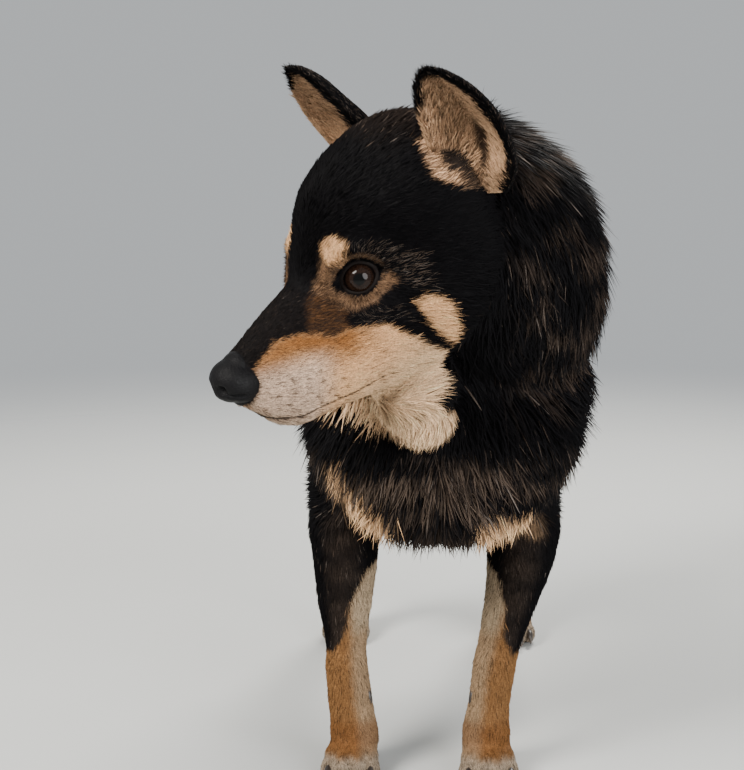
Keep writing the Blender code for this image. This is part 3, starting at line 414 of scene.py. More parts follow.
def ellipsoid_form(centre, radii, matrix, rings=14, sides=22):
    """An ellipsoid with its poles along its own Z."""
    polar = np.linspace(0.12, math.pi - 0.12, rings)[:, None]
    angle = np.linspace(0, 2 * math.pi, sides, endpoint=False)[None, :]
    x, y = np.sin(polar) * np.cos(angle), np.sin(polar) * np.sin(angle)
    points = np.stack([x, y, np.broadcast_to(np.cos(polar), x.shape)], -1) * radii + centre
    return loft(moved(matrix, points.reshape(-1, 3)).reshape(points.shape))


def head_ellipsoid(place, radii):
    """An ellipsoid given in millimetres forward, sideways and up."""
    forward, left, up = place
    long, wide, high = radii
    millimetres = HEAD @ Matrix.Scale(MM, 4)
    return ellipsoid_form((left, -forward, up), (wide, long, high), millimetres)


def fused(forms, voxel, rounds):
    """One skin from many closed forms: its points and quads."""
    points, quads, tris, first = [], [], [], 0
    for p, q, t in forms:
        points.append(p)
        quads.append(q + first)
        tris.append(t + first)
        first += len(p)
    mesh = make_mesh("masses", np.vstack(points), (np.vstack(quads), np.vstack(tris)), shift=False)
    bm = bmesh.new()
    bm.from_mesh(mesh)
    bmesh.ops.recalc_face_normals(bm, faces=bm.faces)
    bm.to_mesh(mesh)
    bm.free()
    obj = bpy.data.objects.new("masses", mesh)
    bpy.context.scene.collection.objects.link(obj)
    remesh = obj.modifiers.new("one skin", "REMESH")
    remesh.mode = "VOXEL"
    remesh.voxel_size = voxel
    bpy.context.view_layer.update()
    whole = bpy.data.meshes.new_from_object(obj.evaluated_get(bpy.context.evaluated_depsgraph_get()))
    places = np.empty(len(whole.vertices) * 3, np.float32)
    whole.vertices.foreach_get("co", places)
    corners = np.empty(len(whole.loops), np.int32)
    whole.loops.foreach_get("vertex_index", corners)
    bpy.data.objects.remove(obj)
    for used in (mesh, whole):
        bpy.data.meshes.remove(used)
    places = places.reshape(-1, 3).astype(float)
    quads = corners.reshape(-1, 4)
    return evened(places, quads, rounds), quads


def evened(points, quads, rounds):
    """Moves each point half way to the mean of its neighbours, a number of times."""
    start = np.concatenate([quads[:, k] for k in range(4)])
    end = np.concatenate([quads[:, (k + 1) % 4] for k in range(4)])
    count = np.bincount(start, minlength=len(points)).astype(float)
    for _ in range(rounds):
        total = np.stack([np.bincount(start, points[end, i], len(points)) for i in range(3)], -1)
        points = 0.5 * points + 0.5 * total / count[:, None]
    return points


def point_normals(points, quads):
    """Unit normals at the points from the faces round them."""
    a, b, c, d = (points[quads[:, k]] for k in range(4))
    face = np.cross(c - a, d - b)
    total = np.zeros_like(points)
    for i in range(3):
        for k in range(4):
            total[:, i] += np.bincount(quads[:, k], face[:, i], len(points))
    return unit(total)


# Where a place lies on the dog


def edge_distance(x, y, outline):
    """Signed distance to a flat outline, positive inside."""
    outline = np.asarray(outline, float)
    far = np.full(len(x), 1e9)
    crossings = np.zeros(len(x), int)
    for (x1, y1), (x2, y2) in zip(outline, np.roll(outline, -1, 0)):
        dx, dy = x2 - x1, y2 - y1
        t = np.clip(((x - x1) * dx + (y - y1) * dy) / (dx * dx + dy * dy), 0, 1)
        far = np.minimum(far, np.hypot(x - x1 - t * dx, y - y1 - t * dy))
        if dy:
            crossings += ((y1 > y) != (y2 > y)) & (x < x1 + (y - y1) * dx / dy)
    return np.where(crossings % 2 == 1, far, -far)


def line_distance(x, y, line):
    far = np.full(len(x), 1e9)
    for (x1, y1), (x2, y2) in zip(line, line[1:]):
        dx, dy = x2 - x1, y2 - y1
        t = np.clip(((x - x1) * dx + (y - y1) * dy) / (dx * dx + dy * dy), 0, 1)
        far = np.minimum(far, np.hypot(x - x1 - t * dx, y - y1 - t * dy))
    return far


def noise(points, size, seed=0):
    """Smooth noise from -1 to 1: sums of sines along fixed random directions."""
    wander = np.random.default_rng(1000 + seed)
    total = np.zeros(len(points))
    for octave, share in ((1, 0.5), (2.1, 0.3), (4.3, 0.2)):
        for _ in range(3):
            along = unit(wander.normal(size=3)) * 2 * math.pi * octave / size
            bend = 1.3 * np.sin(points[:, ::-1] @ along)
            total += share / 1.7 * np.sin(points @ along + wander.uniform(0, 6.28) + bend)
    return total


def along_path(points, rows):
    """For each point the nearest row of a path: how far off it is, and its direction."""
    rows = np.asarray(rows)[:, :3]
    away = np.linalg.norm(points[:, None, :] - rows[None, :, :], axis=2)
    nearest = away.argmin(1)
    ahead = path_ahead(rows)
    return away[np.arange(len(points)), nearest], ahead[nearest]


TAIL_PATH = smooth_rows(TAIL, 4)


class Zones:
    """Shares of head, tail, legs and paws at each point, and its place in head space."""

    def __init__(self, points):
        self.points = points
        self.x, self.y, self.z = points.T
        self.forward, self.left, self.up = in_head(points)
        self.aside = np.abs(self.left)
        self.head = step(-18, 12, edge_distance(self.forward, self.up, HEAD_REGION))
        off, ahead = along_path(points, TAIL_PATH)
        self.tail = step(0.050, 0.036, off) * step(0.325, 0.350, self.z) * step(0.19, 0.21, self.y)
        self.tail_ahead = ahead
        self.hind = step(0.16, 0.24, self.y)
        self.leg = step(0.205, 0.165, self.z)
        self.shank = step(0.125, 0.095, self.z)
        self.paw = step(0.040, 0.026, self.z)
        self.outward = np.where(self.x > np.where(self.hind > 0.5, HIND_MIDDLE, 0.010), 1.0, -1.0)
        self.axis = self.leg_axis()
        self.outer = (self.x - self.axis) * self.outward
        self.front = step(0.0, -0.05, self.y) * (1 - self.head)
        above = self.z + 0.6 * np.minimum(0.02 - self.y, 0.0)
        self.neck = (1 - self.head) * step(0.25, 0.29, above) * step(0.16, 0.06, self.y)
        self.breech = step(0.285, 0.312, self.y) * step(0.115, 0.15, self.z) * step(0.325, 0.29, self.z)
        self.lid_reach = lid_reach(points)

    def leg_axis(self):
        """The X of the leg's middle at each height."""
        result = np.zeros(len(self.x))
        for rows, mask in (
            (FORELEG_LEFT, (self.hind < 0.5) & (self.outward > 0)),
            (FORELEG_RIGHT, (self.hind < 0.5) & (self.outward < 0)),
            (HIND_LEG, (self.hind >= 0.5) & (self.outward > 0)),
        ):
            rows = np.array(rows)[::-1]
            result[mask] = np.interp(self.z[mask], rows[:, 2], rows[:, 0])
        other = (self.hind >= 0.5) & (self.outward < 0)
        rows = np.array(HIND_LEG)[::-1]
        result[other] = 2 * HIND_MIDDLE - np.interp(self.z[other], rows[:, 2], rows[:, 0])
        return result


def eye_distance(zone):
    """Millimetres from the nearer eye's front, and the way from it in head space."""
    away = np.stack(
        [zone.forward - EYE_FRONT.x, zone.aside - EYE_FRONT.y, zone.up - EYE_FRONT.z], -1
    )
    return np.linalg.norm(away, axis=1), away


def blob_away(zone, form):
    """Millimetres outside an ellipsoid of head space."""
    place, radii = form
    away = np.stack([zone.forward - place[0], zone.left - place[1], zone.up - place[2]], -1)
    return (np.linalg.norm(away / radii, axis=1) - 1) * min(radii)


def coat_length(z):
    """Length of the coat in metres."""
    body = 0.017 + 0.007 * z.neck + 0.008 * z.front * step(0.33, 0.28, z.z) + 0.011 * z.breech
    body = mix(body, 0.013, step(0.24, 0.20, z.z) * step(-0.03, 0.03, z.y) * (1 - z.breech))
    body = mix(body, 0.0066, z.leg * (1 - z.breech))
    body = mix(body, 0.0055, z.shank)
    body = mix(body, 0.0042, z.paw)
    body = mix(body, 0.033, z.tail)
    body = mix(body, 0.0130, step(24, 8, blob_away(z, THROAT)))
    muzzle = step(22, 48, z.forward)
    head = mix(0.0070, 0.0140, step(0, -70, z.forward) * step(15, -30, z.up))
    head = mix(head, 0.0100, step(-20, -75, z.forward) * step(0, 40, z.up))
    head = mix(head, 0.0125, step(-62, -84, z.up) * step(30, 5, z.forward))
    head = mix(head, 0.0040, muzzle)
    head = mix(head, 0.0055, muzzle * step(-45, -62, z.up))
    far, _ = eye_distance(z)
    head = mix(head, 0.0036, step(32, 14, far))
    return mix(body, head, z.head)


def coat_depth(z):
    """How far the skin lies under the tips."""
    body = 0.0075 + 0.0030 * z.neck + 0.002 * z.front + 0.0035 * z.breech
    body = mix(body, 0.0022, z.leg * (1 - z.breech))
    body = mix(body, 0.0012, z.paw)
    body = mix(body, 0.0, z.tail)
    muzzle = step(22, 48, z.forward)
    head = mix(0.0022, 0.0062, step(0, -70, z.forward) * step(15, -30, z.up))
    head = mix(head, 0.0010, muzzle)
    far, _ = eye_distance(z)
    head = mix(head, 0.0006, step(34, 16, far))
    return mix(body, head, z.head)


def coat_lie(z, normals):
    """Which way the coat lies: unit vectors along the skin."""
    count = len(z.x)
    body = np.tile([0.0, 1.0, -0.28], (count, 1))
    neck = np.tile([0.02, 0.62, -0.78], (count, 1))
    body = mix(body, neck, z.neck[:, None])
    front = np.stack([0.25 * np.sign(z.x - 0.014), np.full(count, 0.05), np.full(count, -1.0)], -1)
    body = mix(body, front, z.front[:, None])
    leg = np.stack([np.zeros(count), np.full(count, 0.10), np.full(count, -1.0)], -1)
    body = mix(body, leg, z.leg[:, None])
    thigh = np.tile([0.0, 0.42, -0.90], (count, 1))
    body = mix(body, thigh, (z.hind * step(0.32, 0.26, z.z) * (1 - z.leg))[:, None])
    toe = np.tile([0.0, -0.75, -0.60], (count, 1))
    body = mix(body, toe, z.paw[:, None])
    body = mix(body, z.tail_ahead + 0.35 * normals, z.tail[:, None])
    cheek = step(5, -30, z.forward) * step(10, -25, z.up)
    muzzle = step(20, 45, z.forward)
    side = np.sign(z.left)
    down = mix(np.full(count, -0.10), -0.60, cheek)
    down = mix(down, -0.28, muzzle)
    out = side * mix(np.full(count, 0.12), 0.05, muzzle)
    lie = np.stack([out, np.ones(count), down], -1)
    far, away = eye_distance(z)
    ray = unit(np.stack([away[:, 1] * side, -away[:, 0], away[:, 2]], -1))
    lie = mix(lie, 1.3 * ray, (0.85 * step(30, 13, far))[:, None])
    lie = turned(HEAD, lie)
    lie = mix(body, lie, z.head[:, None])
    swirl = np.stack([noise(z.points, 0.045, k) for k in range(3)], -1)
    lie = lie + 0.20 * swirl * (1 - 0.6 * z.head[:, None])
    lie = lie - normals * (lie * normals).sum(1, keepdims=True)
    return unit(lie)


# Marks, as outlines in millimetres forward and up of the eyes

PALE_FACE = [
    (104, -26), (93, -27), (78, -14), (65, -9), (51, -10), (40, -16), (33, -20), (19, -21), (4, -24),
    (-3, -33), (-12, -45), (-25, -58), (-29, -72), (-28, -83), (-15, -86), (-12, -97), (-25, -107),
    (-38, -116), (-22, -129), (-3, -122), (9, -111), (18, -97), (26, -86), (40, -88), (108, -70),
]
# Tan patches of the chest, as lines in X and Z with their half widths
CHEST_PATCHES = [
    ([(-0.058, 0.232), (-0.052, 0.216), (-0.046, 0.205)], 0.0012),
    ([(-0.045, 0.203), (-0.037, 0.194), (-0.026, 0.188)], 0.0075),
    ([(0.052, 0.184), (0.070, 0.184), (0.090, 0.182)], 0.0115),
]
CHEEK_SPOT = [
    (-14, -16), (-20, -13.5), (-27, -17), (-30.5, -26), (-33, -40), (-34, -52), (-30.5, -56), (-25, -50),
    (-19.5, -40), (-15, -28),
]
UNDER_EYE = [
    (30, 12), (28, -4), (15, -11), (3, -10), (-12, -1), (-10, 5), (-4, 2), (5, -4), (18, 2), (24, 12),
]
BROW_STREAK = [(21, 24), (14, 20), (20, 8), (29, 10)]
TEAR_TROUGH = [(33, 8), (24, 3), (20, -10), (22, -19), (36, -22), (46, -14)]
BLACK_STREAK = [(22, -12), (9, -13), (-8, -15), (-9, -26), (6, -22), (20, -19)]
EAR_FOOT = [(-62, 66), (-58, 55), (-56, 46), (-65, 39), (-79, 31), (-88, 30), (-88, 70)]
# Painted shade: the ear's opening at the foot of the ear, painted dark for the shade inside it
EAR_CANAL_SHADE = [(-71, 66), (-68, 50), (-70, 38), (-78, 31), (-84, 36), (-85, 66)]
TEMPLE_GREY = [(3, 29), (-14, 24), (-29, 10), (-26, -13), (-13, -2), (-8, 8), (1, 18)]


def blob(zone, place, radii):
    """Signed depth in an ellipsoid given in head space on both sides, in millimetres."""
    away = np.stack([zone.forward - place[0], zone.aside - place[1], zone.up - place[2]], -1)
    return (1 - np.linalg.norm(away / radii, axis=1)) * min(radii)


def coat_marks(z, jitter):
    """The coat's colour, and the share of dark and of pale hairs in it.

    jitter moves each edge in millimetres, so that the tufts break it up.
    """
    count = len(z.x)
    colour = np.tile(BLACK, (count, 1))
    dark = np.zeros(count)
    pale = np.zeros(count)

    def lay(paint, share, dark_share=0.0, pale_share=0.0):
        nonlocal colour, dark, pale
        share = np.clip(share, 0, 1)
        colour = mix(colour, paint, share[:, None])
        dark = mix(dark, dark_share, share)
        pale = mix(pale, pale_share, share)

    def inside(outline, soft=1.5):
        return step(-soft, soft, edge_distance(z.forward, z.up, outline) + jitter)

    rough = noise(z.points, 0.050, 11)
    fine = noise(z.points, 0.022, 12)
    banded = noise(z.points * np.array([0.35, 0.35, 1.6]), 0.034, 13)
    # Brown-grey guard hairs on neck, nape and shoulders
    side_neck = z.neck * step(0.05, 0.08, z.x) + 0.5 * z.neck * step(-0.01, -0.05, z.x)
    patch = side_neck * step(0.0, 0.5, rough + 0.4 * banded)
    lay(BLACK, np.ones(count), 0.0, 0.008 * (1 - z.head))
    lay(mix(BROWN_BLACK, GUARD_BROWN, 0.3), patch * 0.85, 0.4, 0.10)
    # The chest: bands of brown-grey hair between its two tan patches, and a brown lower fringe
    chest = step(0.0, -0.025, z.y) * (1 - z.head)
    band = chest * step(0.243, 0.228, z.z + 0.002 * jitter) * step(-0.25, 0.35, banded)
    lay(GUARD_BROWN, band * 0.75, 0.45, 0.18)
    fringe = chest * step(0.190, 0.176, z.z + 0.002 * jitter)
    lay(mix(BROWN_BLACK, GUARD_BROWN, 0.45), fringe * 0.9, 0.4, 0.10)
    for line, half in CHEST_PATCHES:
        off = line_distance(z.x, z.z, line) - half - 0.0012 * jitter + 0.0025 * fine
        lay(mix(PEACH, CREAM, 0.4), chest * step(0.003, -0.003, off), 0.08)
    # Belly, inner thighs and the seat are pale, in a cream darkened as painted shade
    under = step(0.215, 0.190, z.z + 0.004 * jitter) * step(0.02, 0.06, z.y) * (1 - z.leg)
    under = under * step(0.072, 0.050, np.abs(z.x - 0.012))
    lay(SHADED_LEG_CREAM, under, 0.1)
    seat = step(0.300, 0.318, z.y) * step(0.040, 0.026, np.abs(z.x - 0.010) - 0.0015 * jitter)
    seat = seat * step(0.20, 0.215, z.z) * step(0.325, 0.300, z.z)
    lay(SHADED_LEG_CREAM, seat, 0.1)
    # Forelegs: black outside and in front, tapering down to a point above the wrist; their tan is darkened
    # as painted shade
    outer = z.outer + 0.0012 * jitter
    edge = np.interp(z.z, [0.083, 0.100, 0.120, 0.145, 0.172], [0.012, 0.001, -0.004, -0.016, -0.050])
    fore = step(0.172, 0.160, z.z) * (1 - z.hind)
    low = step(0.0890, 0.0850, z.z + 0.0008 * jitter)
    tan_leg = fore * np.maximum(step(0.001, -0.002, outer - edge), low)
    lay(SHADED_LEG_TAN, tan_leg, 0.08)
    inner = step(0.000, -0.009, z.outer + 0.0008 * jitter)
    lay(SHADED_LEG_CREAM, tan_leg * inner * np.maximum(step(0.085, 0.110, z.z), 0.55), 0.07)
    # Hind legs: tan on the front of the shank, cream inside, black down the back to the hock, the tan and
    # cream darkened as painted shade
    knee = z.hind * step(0.215, 0.185, z.z)
    forward_edge = np.interp(z.z, [0.06, 0.10, 0.15, 0.21], [0.345, 0.318, 0.225, 0.200])
    front_shank = step(0.004, -0.004, z.y - forward_edge + 0.001 * jitter)
    tan_hind = knee * np.maximum(front_shank, step(0.075, 0.060, z.z))
    lay(SHADED_LEG_TAN, tan_hind, 0.08)
    lay(SHADED_LEG_CREAM, z.hind * step(0.26, 0.22, z.z) * step(-0.004, -0.013, z.outer), 0.06)
    # Paws: a rust band over whitish toes, the toes' cream darkened as painted shade
    lay(RUST, step(0.013, 0.005, np.abs(z.z - 0.030) + 0.0007 * jitter) * 0.5, 0.1)
    lay(mix(SHADED_LEG_CREAM, PALE_GREY, 0.4), step(0.021, 0.015, z.z + 0.0006 * jitter), 0.16)
    lay_face(z, lay, inside, jitter)
    return colour, np.clip(dark, 0, 1), np.clip(pale, 0, 1)


def lay_face(z, lay, inside, jitter):
    """The marks of the head, from the widest to the smallest, with a painted sheen on the crown and painted
    shade in the ear's opening.
    """
    head = z.head
    # Painted sheen: pale brown-grey hairs on the crown between the ears stand in for back light glancing
    # off the black coat.
    crown_painted_sheen = head * step(20, 55, z.up) * step(-30, -70, z.forward) * step(40, 10, z.aside)
    lay(BROWN_BLACK, crown_painted_sheen * 0.6, 0.3, 0.12)
    lay(BROWN_BLACK, head * step(25, 45, z.forward) * 0.2, 0.4, 0.01)
    lay(BLACK, head * inside(TEMPLE_GREY, 3) * step(20, 26, z.aside), 0.0, 0.30)
    cheek_side = step(12, 18, z.aside)
    lay(EYE_TAN, head * inside(UNDER_EYE) * cheek_side, 0.42)
    trough = head * inside(TEAR_TROUGH, 3) * cheek_side
    lay(mix(ORANGE, BROWN_BLACK, 0.75), trough * 0.9, 0.6)
    low = step(-80, -88, z.up) * step(40, 25, z.forward) * step(-0.035, -0.045, z.y)
    face = np.maximum(head, low) * step(64, 58, z.aside)
    pale_face = face * inside(PALE_FACE) * np.maximum(step(7, 11, z.aside), step(-35, -45, z.up))
    lay(PEACH, pale_face, 0.02)
    depth = edge_distance(z.forward, z.up, PALE_FACE[2:10] + [(10, -80), (78, -80)])
    orange = step(26, 3, depth + 2.0 * jitter) * step(2, 26, z.forward) * pale_face
    lay(ORANGE, orange, 0.2)
    lay(mix(ORANGE, TAN, 0.35), orange * step(52, 74, z.forward) * 0.7, 0.14)
    white = pale_face * step(-24, -40, z.up - 0.14 * z.forward) * step(22, 46, z.forward + 0.3 * z.up)
    lay(OFF_WHITE, white * 0.95, 0.17)
    lay(CREAM, pale_face * step(-2, -40, z.up + 0.55 * z.forward + 22) * 0.75, 0.02)
    lay(CREAM, pale_face * step(-66, -78, z.up) * step(34, 20, z.forward) * 0.7, 0.04)
    lay(EAR_TAN, head * inside(EAR_FOOT, 1.5) * step(30, 36, z.aside), 0.4)
    # Painted shade: the ear's opening on the skull is painted brown-black for the shade inside it.
    lay(BROWN_BLACK, head * inside(EAR_CANAL_SHADE, 2.5) * step(30, 36, z.aside), 0.5)
    lay(BLACK, head * inside(BLACK_STREAK, 2) * step(20, 26, z.aside), 0.0, 0.12)
    lay(PEACH, head * inside(CHEEK_SPOT) * step(28, 34, z.aside), 0.02)
    lay(EYE_TAN, head * inside(BROW_STREAK) * step(15, 20, z.aside), 0.35)
    brow = blob(z, (9.5, 22, 25), (8.3, 10, 9.8))
    lay(PEACH, head * step(-1.2, 1.2, brow + 0.7 * jitter), 0.04)
    lips = step(1.6, 0.7, line_distance(z.forward, z.up, LIP_LINE)) * step(3, 10, z.forward)
    lay(BROWN_BLACK, head * lips * 0.85, 0.4)
    lay(BLACK, head * step(1.22, 1.10, nose_reach(z) + 0.03 * jitter))
    lid_fold = step(1.32, 1.40, z.lid_reach) * step(1.70, 1.55, z.lid_reach) * step(8, 14, z.up)
    lay(EYE_TAN, head * lid_fold * 0.6, 0.5, 0.2)
    lay(BLACK, head * step(1.36, 1.26, z.lid_reach + 0.03 * jitter))


def nose_reach(z):
    """Distance from the nose's middle over its own size that way."""
    away = np.stack([z.forward - 91.5, z.aside * 0.9, z.up + 24], -1)
    return np.linalg.norm(away / (14.0, 15.0, 14.5), axis=1)


def whisker_dots(zone):
    """Rows of dark dots on the sides of the muzzle."""
    rows = [
        (50, -34), (59, -34.5), (67, -33), (75, -31), (43, -39), (51, -41), (60, -41.5), (69, -40.5),
        (78, -38), (39, -46), (47, -48), (56, -48.5), (65, -48), (74, -46), (37, -52), (46, -54),
        (55, -54.5),
    ]
    share = np.zeros(len(zone.x))
    for f, u in rows:
        long = 0.8 * (zone.forward - f) + 0.6 * (zone.up - u)
        wide = -0.6 * (zone.forward - f) + 0.8 * (zone.up - u)
        share = np.maximum(share, step(1.3, 0.7, np.hypot(long / 1.5, wide)))
    return share * step(12, 16, zone.aside)


# The unwrap: each part of the body has six charts, by the axis its skin faces most


def unwrap(points, normals, part):
    """Places in the unit square. part is 0 for the body, 1 for the head, 2 and up for the rest."""
    axis = np.abs(normals).argmax(1)
    sign = np.take_along_axis(normals, axis[:, None], 1)[:, 0] > 0
    chart = axis * 2 + sign
    kept = np.array([[1, 2], [0, 2], [0, 1]])[axis]
    flat = np.take_along_axis(points, kept, 1)
    result = np.zeros((len(points), 2))
    for number in np.unique(part):
        rows = part == number
        low, high = points[rows].min(0), points[rows].max(0)
        place = (flat[rows] - low[kept[rows]]) / (high - low).max()
        if number < 2:
            cell = np.array([1 / 6, 0.30])
            base = np.stack([chart[rows] / 6, np.full(rows.sum(), number * 0.32)], -1)
        else:
            cell = np.array([1 / 12, 0.085])
            spot = (number - 2) * 6 + chart[rows]
            base = np.stack([spot % 12 / 12, 0.645 + spot // 12 * 0.088], -1)
        result[rows] = base + cell * (0.03 + 0.94 * place)
    return result


def body_part(zone):
    """Numbers of the parts that the unwrap keeps apart."""
    part = np.zeros(len(zone.x), int)
    leg = (zone.z < 0.185) & (zone.leg > 0.3)
    part[leg] = 2 + (zone.hind[leg] > 0.5) * 2 + (zone.outward[leg] > 0)
    part[zone.tail > 0.5] = 6
    part[zone.head > 0.5] = 1
    return part


# Shader values


class Wire:
    """A shader value whose arithmetic makes Math nodes, also with a number on the left."""

    def __init__(self, tree, socket):
        self.tree, self.socket = tree, socket

    def math(self, operation, *others):
        node = self.tree.nodes.new("ShaderNodeMath")
        node.operation = operation
        for slot, value in zip(node.inputs, (self, *others)):
            connect(self.tree, slot, value)
        return Wire(self.tree, node.outputs[0])

    def __add__(self, other):
        return self.math("ADD", other)

    def __mul__(self, other):
        return self.math("MULTIPLY", other)

    def __sub__(self, other):
        return self.math("SUBTRACT", other)

    def __rsub__(self, other):
        return self * -1.0 + other

    def __pow__(self, other):
        return self.math("POWER", other)

    __radd__, __rmul__ = __add__, __mul__

    def ramp(self, low, high, start=0.0, end=1.0):
        """A soft step from start to end while the value goes from low to high."""
        return node(
            self.tree, "ShaderNodeMapRange", "Result", interpolation_type="SMOOTHSTEP",
            **{"Value": self, "From Min": low, "From Max": high, "To Min": start, "To Max": end}
        )


def connect(tree, slot, value):
    """Sets a socket to a number, a colour or another node's value."""
    if isinstance(value, Wire):
        tree.links.new(value.socket, slot)
    elif isinstance(value, tuple) and len(value) == 3 and slot.type == "RGBA":
        slot.default_value = (*value, 1.0)
    else:
        slot.default_value = value


def node(tree, kind, output, **inputs):
    """Makes a node. Lower-case names are its settings, the others its sockets."""
    made = tree.nodes.new(kind)
    for name, value in inputs.items():
        if name[0].islower():
            setattr(made, name, value)
    for name, value in inputs.items():
        if not name[0].islower():
            connect(tree, made.inputs[name], value)
    return Wire(tree, made.outputs[output])


def blend(tree, share, a, b):
    """A colour between two, by a share."""
    made = tree.nodes.new("ShaderNodeMix")
    made.data_type = "RGBA"
    for name, value in ((0, share), (6, a), (7, b)):
        connect(tree, made.inputs[name], value)
    return Wire(tree, made.outputs[2])


def new_material(name, **values):
    """A Principled material, its tree and shader, with values on its sockets."""
    material = bpy.data.materials.new(name)
    material.use_nodes = True
    tree = material.node_tree
    shader = tree.nodes["Principled BSDF"]
    fill(tree, shader, **values)
    return material, tree, shader


def fill(tree, shader, **values):
    """Sets the shader's sockets, named with underscores."""
    for key, value in values.items():
        connect(tree, shader.inputs[key.replace("_", " ")], value)


def position(tree):
    return node(tree, "ShaderNodeTexCoord", "Object")


def bump(tree, height, distance, strength=1.0):
    return node(tree, "ShaderNodeBump", "Normal", Height=height, Distance=distance, Strength=strength)


def object_noise(tree, scale, detail=2.0):
    return node(tree, "ShaderNodeTexNoise", "Fac", Vector=position(tree), Scale=scale, Detail=detail)


def pebbles(tree, scale):
    return node(tree, "ShaderNodeTexVoronoi", "Distance", Vector=position(tree), Scale=scale)


def coat_colour(tree):
    return node(tree, "ShaderNodeAttribute", "Color", attribute_name="coat")


def coat_material(name, specular, roughness):
    """Hair: its colour comes with each tuft, and varies a little from hair to hair."""
    material, tree, shader = new_material(name, Specular_IOR_Level=specular)
    fine = object_noise(tree, 900.0, 3.0)
    fill(
        tree, shader,
        Base_Color=blend(tree, fine.ramp(0.30, 0.62, 0.40, 0.0), coat_colour(tree), (0.004, 0.003, 0.003)),
        Roughness=fine.ramp(0.2, 0.8, roughness + 0.10, roughness - 0.06),
    )
    return material


def skin_material():
    """Skin under the coat: the coat's colours, with short hair as fine bump."""
    material, tree, shader = new_material("skin under coat", Roughness=0.8, Specular_IOR_Level=0.06)
    hair = object_noise(tree, 1400.0, 4.0)
    fill(
        tree, shader,
        Base_Color=blend(tree, hair.ramp(0.35, 0.65, 0.5, 0.0), coat_colour(tree), (0.006, 0.005, 0.005)),
        Normal=bump(tree, hair, 0.0006, 0.6),
    )
    return material


def nose_material():
    """Matte black leather, pebbled."""
    material, tree, shader = new_material("nose leather", Specular_IOR_Level=0.12)
    soft = object_noise(tree, 380.0, 3.0)
    fill(
        tree, shader,
        Base_Color=blend(tree, soft, (0.0015, 0.0015, 0.0018), (0.005, 0.0045, 0.005)),
        Roughness=soft.ramp(0.3, 0.7, 0.48, 0.66),
        Normal=bump(tree, pebbles(tree, 950.0) * 0.7 + soft * 0.3, 0.0005, 0.55),
    )
    return material


def lid_material():
    """Bare black skin."""
    material, tree, shader = new_material("lid skin", Specular_IOR_Level=0.06)
    soft = object_noise(tree, 900.0, 4.0)
    fill(
        tree, shader,
        Base_Color=blend(tree, soft, (0.003, 0.0025, 0.0025), (0.010, 0.007, 0.006)),
        Roughness=soft.ramp(0.3, 0.7, 0.5, 0.75),
        Normal=bump(tree, soft, 0.0004, 0.5),
    )
    return material


def eye_material():
    """Pupil, dark brown iris with fibres, dark rim and brownish white, by the eye's own flat map."""
    material, tree, shader = new_material(
        "eye", Roughness=0.08, Specular_IOR_Level=0.12, Coat_Weight=0.12, Coat_Roughness=0.02
    )
    split = tree.nodes.new("ShaderNodeSeparateXYZ")
    connect(tree, split.inputs[0], node(tree, "ShaderNodeUVMap", "UV", uv_map="iris"))
    x = Wire(tree, split.outputs[0]) - 0.5
    y = Wire(tree, split.outputs[1]) - 0.5
    radius = (x * x + y * y) ** 0.5
    ring = tree.nodes.new("ShaderNodeCombineXYZ")
    connect(tree, ring.inputs[0], y.math("ARCTAN2", x) * 5.0)
    connect(tree, ring.inputs[1], radius * 5.0)
    polar = Wire(tree, ring.outputs[0])
    fibre = node(tree, "ShaderNodeTexNoise", "Fac", Vector=polar, Scale=3.0, Detail=3.0)
    iris = blend(tree, fibre.ramp(0.3, 0.7), (0.004, 0.002, 0.0015), (0.016, 0.008, 0.005))
    iris = blend(tree, radius.ramp(0.13, 0.18), (0.001, 0.001, 0.001), iris)
    iris = blend(tree, radius.ramp(0.330, 0.385), iris, (0.002, 0.0015, 0.0015))
    fill(tree, shader, Base_Color=blend(tree, radius.ramp(0.405, 0.43), iris, (0.035, 0.020, 0.016)))
    return material


def claw_material():
    """Dark horn with fine grain, paler at the tip."""
    material, tree, shader = new_material("claw horn", Specular_IOR_Level=0.45)
    grain = object_noise(tree, 1100.0, 3.0)
    fill(
        tree, shader,
        Base_Color=blend(tree, grain.ramp(0.3, 0.7, 0.5, 0.0), coat_colour(tree), (0.010, 0.008, 0.007)),
        Roughness=grain.ramp(0.3, 0.7, 0.30, 0.50),
        Normal=bump(tree, grain, 0.0002, 0.4),
    )
    return material


def pad_material():
    """Rough dark pad."""
    material, tree, shader = new_material("paw pad", Roughness=0.8)
    grain = pebbles(tree, 1300.0)
    fill(
        tree, shader,
        Base_Color=blend(tree, grain, (0.012, 0.010, 0.010), (0.045, 0.038, 0.036)),
        Normal=bump(tree, grain, 0.0005, 0.7),
    )
    return material


def floor_material():
    """A pale floor that fades into the backdrop's colour away from the dog."""
    material, tree, shader = new_material("pale floor", Roughness=0.9)
    away = node(tree, "ShaderNodeVectorMath", "Value", operation="LENGTH", Vector=position(tree))
    fill(
        tree, shader,
        Base_Color=blend(tree, object_noise(tree, 3.0, 2.0), (0.46, 0.47, 0.46), (0.50, 0.51, 0.50)),
        Alpha=away.ramp(0.7, 1.9, 1.0, 0.0),
    )
    return material


# The skin


def paw_frames():
    """Each paw's name, place on the floor and turn."""
    hind_right = [(2 * HIND_MIDDLE - row[0], *row[1:]) for row in HIND_LEG]
    for label, stations, turn in (
        ("forepaw_left", FORELEG_LEFT, 3),
        ("forepaw_right", FORELEG_RIGHT, -3),
        ("hind_paw_left", HIND_LEG, 6),
        ("hind_paw_right", hind_right, -6),
    ):
        ankle = stations[-2]
        stand = Matrix.Translation((ankle[0], ankle[1], 0)) @ Matrix.Rotation(math.radians(turn), 4, "Z")
        yield label, stand


